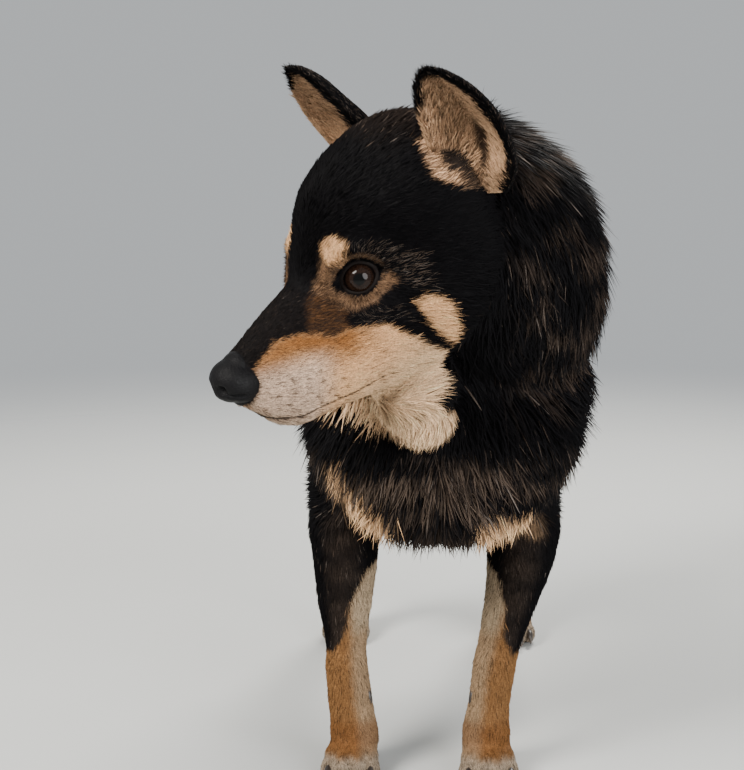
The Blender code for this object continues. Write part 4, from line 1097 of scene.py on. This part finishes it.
def body_forms():
    hind_right = [(2 * HIND_MIDDLE - row[0], *row[1:]) for row in HIND_LEG]
    tail = [(*row[:3], row[3] * TAIL_CORE, row[4] * TAIL_CORE) for row in TAIL]
    forms = [trunk_form(), skull_form(), head_ellipsoid(*THROAT)]
    forms += [limb_form(rows) for rows in (NECK, FORELEG_LEFT, FORELEG_RIGHT, HIND_LEG, hind_right, tail)]
    for side in (-1, 1):
        forms.append(head_ellipsoid((2, 21 * side, 20), (15, 14, 13)))
        forms.append(head_ellipsoid((68, 12 * side, -42), (25, 10, 13.5)))
        forms.append(ellipsoid_form((0, 0, 0), np.full(3, EYE_RADIUS + 1.6), eye_frame(side)))
    forms.append(ellipsoid_form(*SHOULDER_RUFF, Matrix.Identity(4)))
    for _, stand in paw_frames():
        matrix = stand @ Matrix.Scale(MM, 4)
        masses = list(PAW_MASSES)
        for x, y in TOES:
            masses.append(((x, y, 8.5), (6.6, 12.5, 9.8)))
            masses.append(((x * 0.95, y + 8, 15.5), (5.4, 11, 8.5)))
        forms += [ellipsoid_form(*mass, matrix) for mass in masses]
    return forms


def opening(cos, sin):
    """The angle from the line of sight to the lids' edge, in a direction round it."""
    inner, outer, up, down = (math.radians(a) for a in OPENING)
    corner = np.abs(cos) / np.where(cos > 0, outer, inner)
    lid = np.abs(sin) / np.where(sin > 0, up, down)
    return (corner**1.7 + lid**1.7) ** (-1 / 1.7)


def eye_coordinates(points, side):
    """Each point in the eye's own axes in millimetres, and its reach.

    The reach is the distance from the line of sight over the opening's own half width that way: 1 on
    the lids' edge. The opening is an almond: a mean of the corner's and the lid's angles round it.
    """
    local = moved(eye_frame(side).inverted(), points)
    across = np.maximum(np.hypot(local[:, 0], local[:, 1]), 1e-6)
    angle = opening(local[:, 0] / across, local[:, 1] / across)
    return local, across / (EYE_RADIUS * np.sin(angle)), angle


def lid_reach(points):
    """How far from the middle of the nearer opening each point lies, with 1 on the lids' edge."""
    nearest = np.full(len(points), 9.0)
    for side in (-1, 1):
        local, reach, _ = eye_coordinates(points, side)
        ahead = (local[:, 2] > 0) & (np.linalg.norm(local, axis=1) < EYE_RADIUS + 12)
        nearest = np.minimum(nearest, np.where(ahead, reach, 9.0))
    return nearest


def carve_face(points, normals, zone):
    """Lays the skin round the eyes as lids, sinks the temples before the ears and cuts the mouth's line."""
    for side in (-1, 1):
        local, reach, angle = eye_coordinates(points, side)
        near = (local[:, 2] > 0) & (np.linalg.norm(local, axis=1) < EYE_RADIUS + 12) & (reach < 1.8)
        lid = (EYE_RADIUS + 0.9) * np.cos(angle)
        height = mix(lid, local[:, 2], step(1.05, 1.75, reach))
        height = np.where(reach < 1.0, np.minimum(local[:, 2], 2.0), height)
        carved = np.column_stack([local[:, :2], np.where(near, height, local[:, 2])])
        points = moved(eye_frame(side), carved)
    temple = np.stack([zone.forward + 60, zone.aside - 52, zone.up - 50], -1) / 17.0
    hollow = zone.head * step(1.0, 0.2, np.linalg.norm(temple, axis=1))
    off = line_distance(zone.forward, zone.up, LIP_LINE)
    groove = zone.head * np.exp(-((off / 1.2) ** 2)) * step(4, 14, zone.forward) * step(3, 8, zone.aside)
    return points - normals * (groove * 0.0014 + hollow * 0.0055)[:, None]


def make_skin():
    """The dog's one skin, inside the coat's tips by its depth: points, quads and normals."""
    points, quads = fused(body_forms(), 0.0020, 4)
    normals = point_normals(points, quads)
    zone = Zones(points)
    points = points - normals * coat_depth(zone)[:, None]
    points = carve_face(points, normals, zone)
    points[:, 2] = np.maximum(points[:, 2], 0.0004)
    return points, quads, point_normals(points, quads)


def ear_grid(side, inset, sides=30, steps=6):
    """Crescent sections of an ear, and how far round, how high and how deep in the cup each point is."""
    upward = EAR_LEANS[side].normalized()
    facing = (EAR_FACINGS[side] - upward * EAR_FACINGS[side].dot(upward)).normalized()
    outward = facing.cross(upward) * -side
    up, face, out = (np.array(v) for v in (upward, facing, outward))
    rows = smooth_rows(EAR_STATIONS, steps)
    angle = np.linspace(0, math.pi, sides)
    rings, marks = [], []
    for height, aside, half, depth, fill_share in rows:
        half, depth = max(half - inset, 0.6), max(depth - inset, 0.5)
        wall = min(3.4 - 1.2 * inset, half * 0.5, depth * 0.7)
        centre = np.array(EAR_TIPS[side]) + up * height + out * aside
        back = centre + out * half * np.cos(angle)[:, None] - face * depth * np.sin(angle)[:, None]
        hollow = (depth - wall) * (1 - np.clip(fill_share, 0, 1))
        inner = centre + out * (half - wall * 0.9) * np.cos(angle)[:, None]
        inner = inner - face * hollow * np.sin(angle)[:, None]
        rings.append(np.vstack([back, inner[::-1][1:-1]]))
        across = np.cos(np.concatenate([angle, angle[::-1][1:-1]]))
        cup = np.concatenate([np.zeros(sides), np.ones(sides - 2)])
        marks.append(np.stack([across, np.full(len(across), height), cup], -1))
    rings = np.array(rings)
    points = moved(HEAD, rings.reshape(-1, 3) * MM)
    return points.reshape(rings.shape), np.array(marks), turned(HEAD, np.array([out, up, face]))


def ear_colour(across, height, cup, jitter, side):
    """Colour, dark and pale shares of the ear, with painted shade in its opening. across is 1 at its
    lateral rim and -1 at the medial one.
    """
    count = len(across)
    colour = np.tile(BLACK, (count, 1))
    band = np.interp(height, [-60, -40, -20, -8, 0], [0.86, 0.62, 0.52, 0.45, 0.2])
    if side < 0:
        band = np.interp(height, [-60, -20, -8, 0], [1.3, 1.2, 0.95, 0.5])
    lateral = step(0.05, -0.05, across + 0.05 * jitter - band)
    medial = step(-0.95, -0.88, across + 0.03 * jitter)
    if side > 0:
        medial = np.maximum(medial, step(-22, -32, height))
        cup = np.maximum(cup, step(-0.70, -0.85, across) * step(-24, -34, height))
    else:
        medial = step(-0.35, -0.15, across + 0.05 * jitter)
        cup = np.maximum(cup, step(0.72, 0.86, across) * step(-8, -18, height))
    top = step(-1, -7, height + 1.5 * jitter)
    tan = cup * lateral * medial * top
    colour = mix(colour, EAR_TAN, tan[:, None])
    # Painted shade: the deep lower cup round the ear's opening is painted near black for the shade in it.
    canal_shade = cup * step(0.75, 0.35, np.hypot((across - 0.14) / 0.42, (height + 58) / 34) + 0.06 * jitter)
    colour = mix(colour, np.array((0.020, 0.012, 0.010)), canal_shade[:, None] * 0.95)
    mottle = tan * (1 - canal_shade) * step(0.35, -0.3, across)
    return colour, 0.22 * mottle + 0.04, (0.03 + 0.06 * (1 - cup)) * (1 - tan)


# The coat


def scatter(points, faces, normals, density):
    """Random roots on triangles: places, normals, triangles and weights. density is per square metre."""
    a, b, c = (points[faces[:, k]] for k in range(3))
    area = 0.5 * np.linalg.norm(np.cross(b - a, c - a), axis=1)
    wanted = area * density[faces].mean(1)
    edge = np.cumsum(wanted)
    count = int(edge[-1])
    ticks = (np.arange(count) + draw.uniform(0, 1, count)) / count * edge[-1]
    pick = np.searchsorted(edge, ticks).clip(0, len(faces) - 1)
    r1, r2 = np.sqrt(draw.uniform(0, 1, count)), draw.uniform(0, 1, count)
    weight = np.stack([1 - r1, r1 * (1 - r2), r1 * r2], -1)
    place = (points[faces[pick]] * weight[:, :, None]).sum(1)
    normal = unit((normals[faces[pick]] * weight[:, :, None]).sum(1))
    return place, normal, faces[pick], weight


def tuft_arrays(root, normal, lie, length, width, stand, bent, segments):
    """Rows of left, ridge and right, then the tip, of each tuft. One segment has its ridge half way."""
    count = len(root)
    side = unit(np.cross(normal, lie))
    roll = draw.normal(0, 0.35, count)[:, None]
    turn = draw.normal(0, 0.15, count)[:, None]
    lie = unit(lie * np.cos(turn) + side * np.sin(turn))
    side = unit(np.cross(normal, lie))
    across = side * np.cos(roll) + normal * np.sin(roll)
    over = normal * np.cos(roll) - side * np.sin(roll)
    curl = draw.normal(0, 0.10, count)[:, None]

    def middle(u):
        rise = stand[:, None] * u**0.8 - bent[:, None] * u**2 if u else -0.0004
        return root + lie * length[:, None] * u + normal * rise + side * length[:, None] * curl * u * u

    if segments == 1:
        half = 0.5 * width[:, None]
        ridge = middle(0.45) + over * half * 0.5
        return np.stack([middle(0) - across * half, ridge, middle(0) + across * half, middle(1)], 1)
    shape = []
    for k in range(segments):
        half = (width * (0.42 if k == 0 else 0.5 * (1 - 0.75 * (k - 1) / segments)))[:, None]
        centre = middle(k / segments)
        shape += [centre - across * half, centre + over * half * 0.8, centre + across * half]
    return np.stack([*shape, middle(1)], 1)


def tuft_faces(count, segments):
    """Quads and triangles of the tufts."""
    quads = []
    for k in range(segments - 1):
        b = 3 * k
        quads += [(b, b + 1, b + 4, b + 3), (b + 1, b + 2, b + 5, b + 4)]
    top, tip = 3 * (segments - 1), 3 * segments
    tris = [(top, top + 1, tip), (top + 1, top + 2, tip)]
    if segments == 1:
        tris.append((0, 2, 1))
    first = (np.arange(count) * (tip + 1))[:, None, None]
    sheets = [np.array(tris)[None] + first]
    if quads:
        sheets.insert(0, np.array(quads)[None] + first)
    return [sheet.reshape(-1, sheet.shape[2]) for sheet in sheets]


def tuft_uv(place, segments):
    """Each tuft's patch on the unwrap: from its root's place along 0.003 of the square."""
    along = np.concatenate([np.repeat(np.arange(segments) / segments, 3), [1.0]]) * 0.003 - 0.0015
    wide = np.concatenate([np.tile([-0.0015, 0.0, 0.0015], segments), [0.0]])
    return place[:, None, :] + np.stack([wide, along], -1)[None]


def add_coat(name, data, material, segments):
    """Joined tufts as pieces of under 200,000 triangles."""
    root, normal, lie, length, width, stand, bent, base, tip, spot = data
    most = 190000 // (3 if segments == 1 else (segments - 1) * 4 + 2)
    pieces = math.ceil(len(root) / most)
    share = np.concatenate([np.repeat(np.arange(segments) / segments, 3), [1.0]])
    if segments == 1:
        share[1] = 0.45
    for number in range(pieces):
        rows = slice(number * len(root) // pieces, (number + 1) * len(root) // pieces)
        shape = tuft_arrays(*(v[rows] for v in (root, normal, lie, length, width, stand, bent)), segments)
        shape[:, :, 2] = np.maximum(shape[:, :, 2], 0.0003)
        mesh = make_mesh(name, shape.reshape(-1, 3), tuft_faces(len(shape), segments))
        colour = mix(base[rows][:, None], tip[rows][:, None], share[None, :, None])
        paint(mesh, colour.reshape(-1, 3))
        lay_uv(mesh, tuft_uv(spot[rows], segments).reshape(-1, 2))
        obj = add_object(name if pieces == 1 else "%s_%d" % (name, number + 1), mesh, material)
        obj["tufts"] = len(shape)


def paint(mesh, colours):
    """Stores a colour at each vertex."""
    attribute = mesh.color_attributes.new("coat", "FLOAT_COLOR", "POINT")
    rgba = np.ones((len(colours), 4), np.float32)
    rgba[:, :3] = colours
    attribute.data.foreach_set("color", rgba.ravel())


def lay_uv(mesh, places, name="OFBake"):
    """Gives each corner its vertex's place."""
    corners = np.empty(len(mesh.loops), np.int32)
    mesh.loops.foreach_get("vertex_index", corners)
    layer = mesh.uv_layers.new(name=name)
    layer.data.foreach_set("uv", places[corners].astype(np.float32).ravel())


def hair_colours(colour, dark, pale, count):
    """Root and tip colours of each tuft: some are dark guard hairs, some pale ones."""
    chance = draw.uniform(0, 1, count)
    tip = colour.copy()
    is_dark = chance < dark
    is_pale = (chance > 1 - pale) & ~is_dark
    tip[is_dark] = mix(BROWN_BLACK, tip[is_dark], 0.12)
    how_pale = draw.uniform(0, 1, (is_pale.sum(), 1)) ** 3 * 0.5
    tip[is_pale] = mix(GUARD_BROWN * 0.7, PALE_GREY, how_pale)
    level = draw.normal(1.0, 0.11, (count, 1))
    tip = np.clip(tip * level, 0.002, 0.95)
    bright = colour.mean(1, keepdims=True) > 0.1
    base = np.where(bright, mix(tip, colour * np.array((1.0, 0.86, 0.72)), 0.35) * 0.62, tip * 0.8)
    base[is_pale] = BROWN_BLACK
    return base, tip


def coat_width(zone, length):
    """Width of a tuft in metres: finer on the face, where it is also short."""
    body = 0.00030 + 0.028 * length
    return mix(body, 0.00028 + 0.036 * length, zone.head)


def grow_body(points, quads, normals, share):
    """Roots all over the skin, with their coat's measures and colours, split by part."""
    faces = np.vstack([quads[:, [0, 1, 2]], quads[:, [0, 2, 3]]])
    zone = Zones(points)
    length = coat_length(zone)
    layers = 2.9 + 0.9 * zone.tail + 0.6 * zone.front
    layers = layers - 1.2 * zone.leg * (1 - zone.breech) * (1 - zone.hind * 0.3)
    layers = mix(layers, 2.6 + 0.8 * step(-10, 20, zone.forward), zone.head)
    hidden = step(0.0, 0.06, zone.y) * step(-0.2, -0.7, normals[:, 2]) * (1 - zone.leg)
    density = layers * (1 - 0.5 * hidden) / (length * coat_width(zone, length) * 0.55) * share
    place, normal = scatter(points, faces, normals, density)[:2]
    zone = Zones(place)
    keep = (place[:, 2] > 0.0035) & (zone.lid_reach > 1.10)
    keep &= nose_reach(zone) > 1.0
    lips = line_distance(zone.forward, zone.up, LIP_LINE) < 0.6
    keep &= ~(lips & (zone.head > 0.5) & (zone.forward > 8))
    place, normal = place[keep], normal[keep]
    zone = Zones(place)
    count = len(place)
    length = coat_length(zone)
    width = coat_width(zone, length) * draw.normal(1.0, 0.22, count).clip(0.5, 1.6)
    length = length * draw.normal(1.0, 0.16, count).clip(0.55, 1.5)
    lift = 0.26 + 0.08 * zone.neck + 0.26 * zone.tail + 0.10 * zone.breech - 0.08 * zone.leg
    lift = mix(lift, mix(0.19, 0.27, step(-10, -60, zone.forward)), zone.head)
    clump = 1 + 0.25 * noise(place, 0.014, 21)
    stand = length * lift * clump * draw.normal(1.0, 0.20, count).clip(0.4, 1.7)
    lie = coat_lie(zone, normal)
    jitter = draw.normal(0, 0.8, count) + 1.0 * noise(place, 0.010, 22)
    seen = Zones(place + lie * (length * 0.55)[:, None] + normal * (stand * 0.6)[:, None])
    colour, dark, pale = coat_marks(seen, jitter)
    dark = np.maximum(dark, whisker_dots(seen) * 0.85)
    base, tip = hair_colours(colour, dark, pale, count)
    part = body_part(zone)
    spot = unwrap(place, normal, part)
    data = (place, normal, lie, length, width, stand, stand * 0.12, base, tip, spot)
    groups = {
        "coat_body": part == 0,
        "coat_head": part == 1,
        "coat_tail": part == 6,
        "coat_forelegs": (part == 2) | (part == 3),
        "coat_hind_legs": (part == 4) | (part == 5),
    }
    return {name: tuple(v[rows] for v in data) for name, rows in groups.items()}


def grow_ear(side, share):
    """One ear's skin and its tufts."""
    rings, marks, axes = ear_grid(side, 0.8)
    points, quads, tris = loft(rings)
    flat = np.vstack([marks.reshape(-1, 3), marks[0].mean(0), marks[-1].mean(0)])
    normals = point_normals(points, quads)
    if ((points - points.mean(0)) * normals).sum() < 0:
        normals, quads, tris = -normals, quads[:, ::-1], tris[:, ::-1]
    faces = np.vstack([quads[:, [0, 1, 2]], quads[:, [0, 2, 3]], tris])
    across, height, cup = flat.T
    colour, dark, _ = ear_colour(across, height, cup, np.zeros(len(points)), side)
    skin = (points, quads, tris, colour * (1 - 0.5 * dark[:, None]))
    out, up, face = axes
    length = mix(np.full(len(points), 0.0042), 0.0075, cup)
    density = share * 3.6 / (length * (0.00028 + 0.040 * length) * 0.55)
    place, normal, corner, weight = scatter(points, faces, normals, density)
    across, height, cup = ((flat[corner] * weight[:, :, None]).sum(1)).T
    cup = step(0.4, 0.6, cup)
    amount = len(place)
    jitter = draw.normal(0, 1.0, amount)
    colour, dark, pale = ear_colour(across, height, cup, jitter, side)
    base, tip = hair_colours(colour, dark, pale, amount)
    fringe = cup * step(0.1, -0.6, across) * step(-5, -30, height)
    length = mix(mix(np.full(amount, 0.0040), 0.0055, cup), 0.0090, fringe)
    width = (0.00028 + 0.040 * length) * draw.normal(1.0, 0.2, amount).clip(0.5, 1.6)
    length = length * draw.normal(1.0, 0.18, amount).clip(0.5, 1.5)
    lie = np.tile(up, (amount, 1)) + np.outer(0.25 * across, out)
    lie = lie + np.outer(cup * 0.9 * np.where(across < 0.2, 1.0, -0.5), out) + 0.35 * face * cup[:, None]
    lie = unit(lie - normal * (lie * normal).sum(1, keepdims=True))
    stand = length * mix(np.full(amount, 0.15), 0.34, cup) * draw.normal(1.0, 0.25, amount).clip(0.3, 1.8)
    spot = unwrap(place, normal, np.full(amount, EAR_PART[side]))
    return skin, (place, normal, lie, length, width, stand, stand * 0.1, base, tip, spot)


EAR_PART = {1: 7, -1: 8}
FLESH = [
    "head", "lower_jaw", "ear_left", "ear_right", "neck", "chest", "loin", "tail_base", "tail_curl",
    "tail_tip", "foreleg_left", "foreleg_right", "lower_foreleg_left", "lower_foreleg_right",
    "thigh_left", "thigh_right", "hind_leg_left", "hind_leg_right", "forepaw_left", "forepaw_right",
    "hind_paw_left", "hind_paw_right",
]


def dress_dog():
    """The skin with its two ears, and the coat on them."""
    share = 1.0
    points, quads, normals = make_skin()
    zone = Zones(points)
    colour, dark, _ = coat_marks(zone, np.zeros(len(points)))
    skins = [(points, quads, np.empty((0, 3), int), colour * (1 - 0.6 * dark[:, None]))]
    sheets = [unwrap(points, normals, body_part(zone))]
    ears = []
    for side in (1, -1):
        skin, tufts = grow_ear(side, share)
        skins.append(skin)
        ears.append(tufts)
        part = np.full(len(skin[0]), EAR_PART[side])
        sheets.append(unwrap(skin[0], point_normals(*skin[:2]), part))
    first = np.cumsum([0] + [len(skin[0]) for skin in skins])
    faces = [np.vstack([skin[k] + first[n] for n, skin in enumerate(skins)]) for k in (1, 2)]
    mesh = make_mesh("skin", np.vstack([skin[0] for skin in skins]), faces)
    paint(mesh, np.vstack([skin[3] for skin in skins]))
    lay_uv(mesh, np.vstack(sheets))
    add_object("skin", mesh, skin_material(), FLESH)
    hair = coat_material("coat hair", 0.05, 0.62)
    for name, data in grow_body(points, quads, normals, share).items():
        add_coat(name, data, hair, {"coat_body": 2, "coat_tail": 3}.get(name, 1))
    add_coat("coat_ears", tuple(np.concatenate(pair) for pair in zip(*ears)), hair, 1)


# Eyes, lids, nose, claws and pads


def add_eyes():
    material, lid = eye_material(), lid_material()
    for name, side in (("left", 1), ("right", -1)):
        matrix = eye_frame(side)
        polar = np.concatenate([[0.0], np.linspace(0.06, math.pi, 40)])[:, None]
        angle = np.linspace(0, 2 * math.pi, 64, endpoint=False)[None, :]
        radius = EYE_RADIUS + 0.75 * step(0.80, 0.30, polar) * np.ones_like(angle)
        x = radius * np.sin(polar) * np.cos(angle)
        y = radius * np.sin(polar) * np.sin(angle)
        z = radius * np.cos(polar) * np.ones_like(angle)
        grid = np.stack([x, y, z], -1)
        points = moved(matrix, grid.reshape(-1, 3))
        quads = ring_faces(len(polar), 64)
        if side > 0:
            quads = quads[:, ::-1]
        mesh = make_mesh("eyeball", points, (quads,))
        flat = np.stack([x, y], -1).reshape(-1, 2) / (2 * EYE_RADIUS) + 0.5
        lay_uv(mesh, flat, "iris")
        add_object("eyeball_" + name, mesh, material, ["eye_" + name])
        add_lids(name, side, lid)


def add_lids(name, side, material, sides=96):
    """The rim of the lids: bands round the opening, rolled in at the edge and sunk under the coat."""
    angle = np.linspace(0, 2 * math.pi, sides, endpoint=False)
    cos, sin = np.cos(angle), np.sin(angle)
    edge = opening(cos, sin)
    rings = []
    for spread, height in LID_ROWS:
        across = EYE_RADIUS * np.sin(edge) * spread
        ahead = EYE_RADIUS * (np.cos(edge) + max(1 - spread, 0) * np.sin(edge)) + height
        rings.append(np.stack([across * cos, across * sin, ahead], -1))
    points = moved(eye_frame(side), np.array(rings).reshape(-1, 3))
    quads = ring_faces(len(LID_ROWS), sides)
    if side < 0:
        quads = quads[:, ::-1]
    mesh = make_mesh("lids", points, (quads,))
    add_object("lids_" + name, mesh, material)


def nostril_depth(forward, left, up):
    """How deep the nostrils go: a round hole in front and a slit that curls out to the side."""
    side = np.abs(left)
    hole = np.exp(-(((side - 6.0) / 2.7) ** 2) - ((up + 22.5) / 2.9) ** 2) * step(95, 100, forward)
    bend = up + 26.0 + 0.40 * (side - 8.5)
    slit = np.exp(-((bend / 1.4) ** 2)) * step(7.0, 9.0, side) * step(17.0, 13.5, side)
    slit = slit * step(88, 93, forward)
    return 5.5 * np.clip(hole, 0, 1) + 2.6 * slit


NOSE_MASSES = [
    ((93.5, 0, -22.5), (14, 15.5, 13.5)), ((86, 0, -15), (9, 11, 8)), ((92.5, 0, -34), (5.5, 5, 7.5)),
    ((89.5, 8.5, -26), (13, 8.5, 10.5)), ((89.5, -8.5, -26), (13, 8.5, 10.5)),
]


def add_nose():
    """The nose: pad, bridge, wings and philtrum fused, with nostrils and the groove between them."""
    points, quads = fused([head_ellipsoid(*mass) for mass in NOSE_MASSES], 0.0008, 24)
    normals = point_normals(points, quads)
    forward, left, up = in_head(points)
    depth = nostril_depth(forward, left, up)
    groove = 0.8 * np.exp(-((left / 0.7) ** 2)) * step(-14, -22, up) * step(92, 98, forward)
    ahead = turned(HEAD, np.array([[0.0, -1.0, 0.0]]))
    inwards = ahead * 0.8 * depth[:, None] + normals * (depth * 0.25 + groove)[:, None]
    points = points - inwards * MM
    mesh = make_mesh("nose", points, (quads,))
    add_object("nose_leather", mesh, nose_material(), ["nose"])


def add_claws():
    """Curved claws on the toes and the two dewclaws, pads under the paws."""
    horn, pad = claw_material(), pad_material()
    for label, stand in paw_frames():
        shapes = []
        for x, y in TOES:
            root = np.array([x * MM, (y - 8) * MM, CLAW_HEIGHT * MM])
            shapes.append(claw_form(root, stand))
        names = ["claw_%s_%d" % (label, number) for number in range(1, 5)]
        add_shapes("claws_" + label, shapes, horn, names)
        pads = []
        matrix = stand @ Matrix.Scale(MM, 4)
        for x, y in TOES:
            pads.append(ellipsoid_form((x * 0.95, y + 1, 3.4), (4.6, 7.4, 4.4), matrix))
        pads.append(ellipsoid_form((0, -2, 3.6), (11, 9.5, 4.8), matrix))
        add_shapes("pads_" + label, pads, pad, ())
    for label, side in (("left", 1), ("right", -1)):
        aside = Matrix.Rotation(math.radians(-30 * side), 4, "Z")
        droop = Matrix.Rotation(math.radians(62), 4, "X")
        matrix = Matrix.Translation(DEWCLAW_ROOTS[side]) @ aside @ droop
        horn_form = claw_form(np.zeros(3), matrix)
        add_shapes("dewclaw_horn_" + label, [horn_form], horn, ["dewclaw_" + label])


def claw_form(root, matrix):
    stations = [
        (root[0], root[1] - a * MM, root[2] - d * MM, w * MM, h * MM) for a, d, w, h in CLAW_ARC
    ]
    return limb_form(stations, sides=16, steps=4, matrix=matrix)


def add_shapes(name, shapes, material, replaces):
    """Several closed forms as one piece, kept on the floor."""
    points, quads, tris, first = [], [], [], 0
    for p, q, t in shapes:
        points.append(p)
        quads.append(q + first)
        tris.append(t + first)
        first += len(p)
    points = np.vstack(points)
    points[:, 2] = np.maximum(points[:, 2], 0.0002)
    mesh = make_mesh(name, points, (np.vstack(quads), np.vstack(tris)))
    bm = bmesh.new()
    bm.from_mesh(mesh)
    bmesh.ops.recalc_face_normals(bm, faces=bm.faces)
    bm.to_mesh(mesh)
    bm.free()
    tips = step(0.012, 0.004, points[:, 2])[:, None]
    paint(mesh, mix(np.array((0.022, 0.017, 0.014)), np.array((0.085, 0.065, 0.050)), tips))
    add_object(name, mesh, material, replaces)


# Studio


def add_light(name, place, aim, size, power, colour=(1, 1, 1)):
    lamp = bpy.data.lights.new(name, "AREA")
    lamp.shape = "DISK"
    lamp.size = size
    lamp.energy = power
    lamp.color = colour
    obj = bpy.data.objects.new(name, lamp)
    obj.location = place
    obj.rotation_euler = (Vector(aim) - Vector(place)).to_track_quat("-Z", "Y").to_euler()
    bpy.context.scene.collection.objects.link(obj)


def studio():
    """A plain pale floor and backdrop, soft light, and the camera at the photo's angle."""
    bpy.ops.mesh.primitive_plane_add(size=4)
    floor = bpy.context.object
    floor.name = "floor"
    floor.data.materials.append(floor_material())
    world = bpy.context.scene.world or bpy.data.worlds.new("studio")
    bpy.context.scene.world = world
    world.use_nodes = True
    world.node_tree.nodes["Background"].inputs[0].default_value = (0.80, 0.83, 0.85, 1)
    world.node_tree.nodes["Background"].inputs[1].default_value = 0.64
    add_light("key light", (-1.5, -1.5, 1.9), (0, 0, 0.3), 1.2, 115, (1.0, 0.96, 0.90))
    add_light("fill light", (1.3, -2.0, 0.8), (0, 0, 0.3), 1.8, 75)
    add_light("back light", (0.6, 2.0, 2.2), (0, 0, 0.35), 1.2, 110, (1.0, 0.96, 0.90))
    lens = bpy.data.cameras.new("camera")
    lens.sensor_fit = "HORIZONTAL"
    lens.sensor_width = 36
    lens.lens = 1850 / 744 * 36
    lens.clip_start = 0.05
    camera = bpy.data.objects.new("camera", lens)
    camera.location = Vector((0.012, -1.26, 0.483)) + Vector(SHIFT)
    camera.rotation_euler = (math.radians(90 - 9.271), 0, 0.036)
    bpy.context.scene.collection.objects.link(camera)
    bpy.context.scene.camera = camera


dress_dog()
add_eyes()
add_nose()
add_claws()
studio()
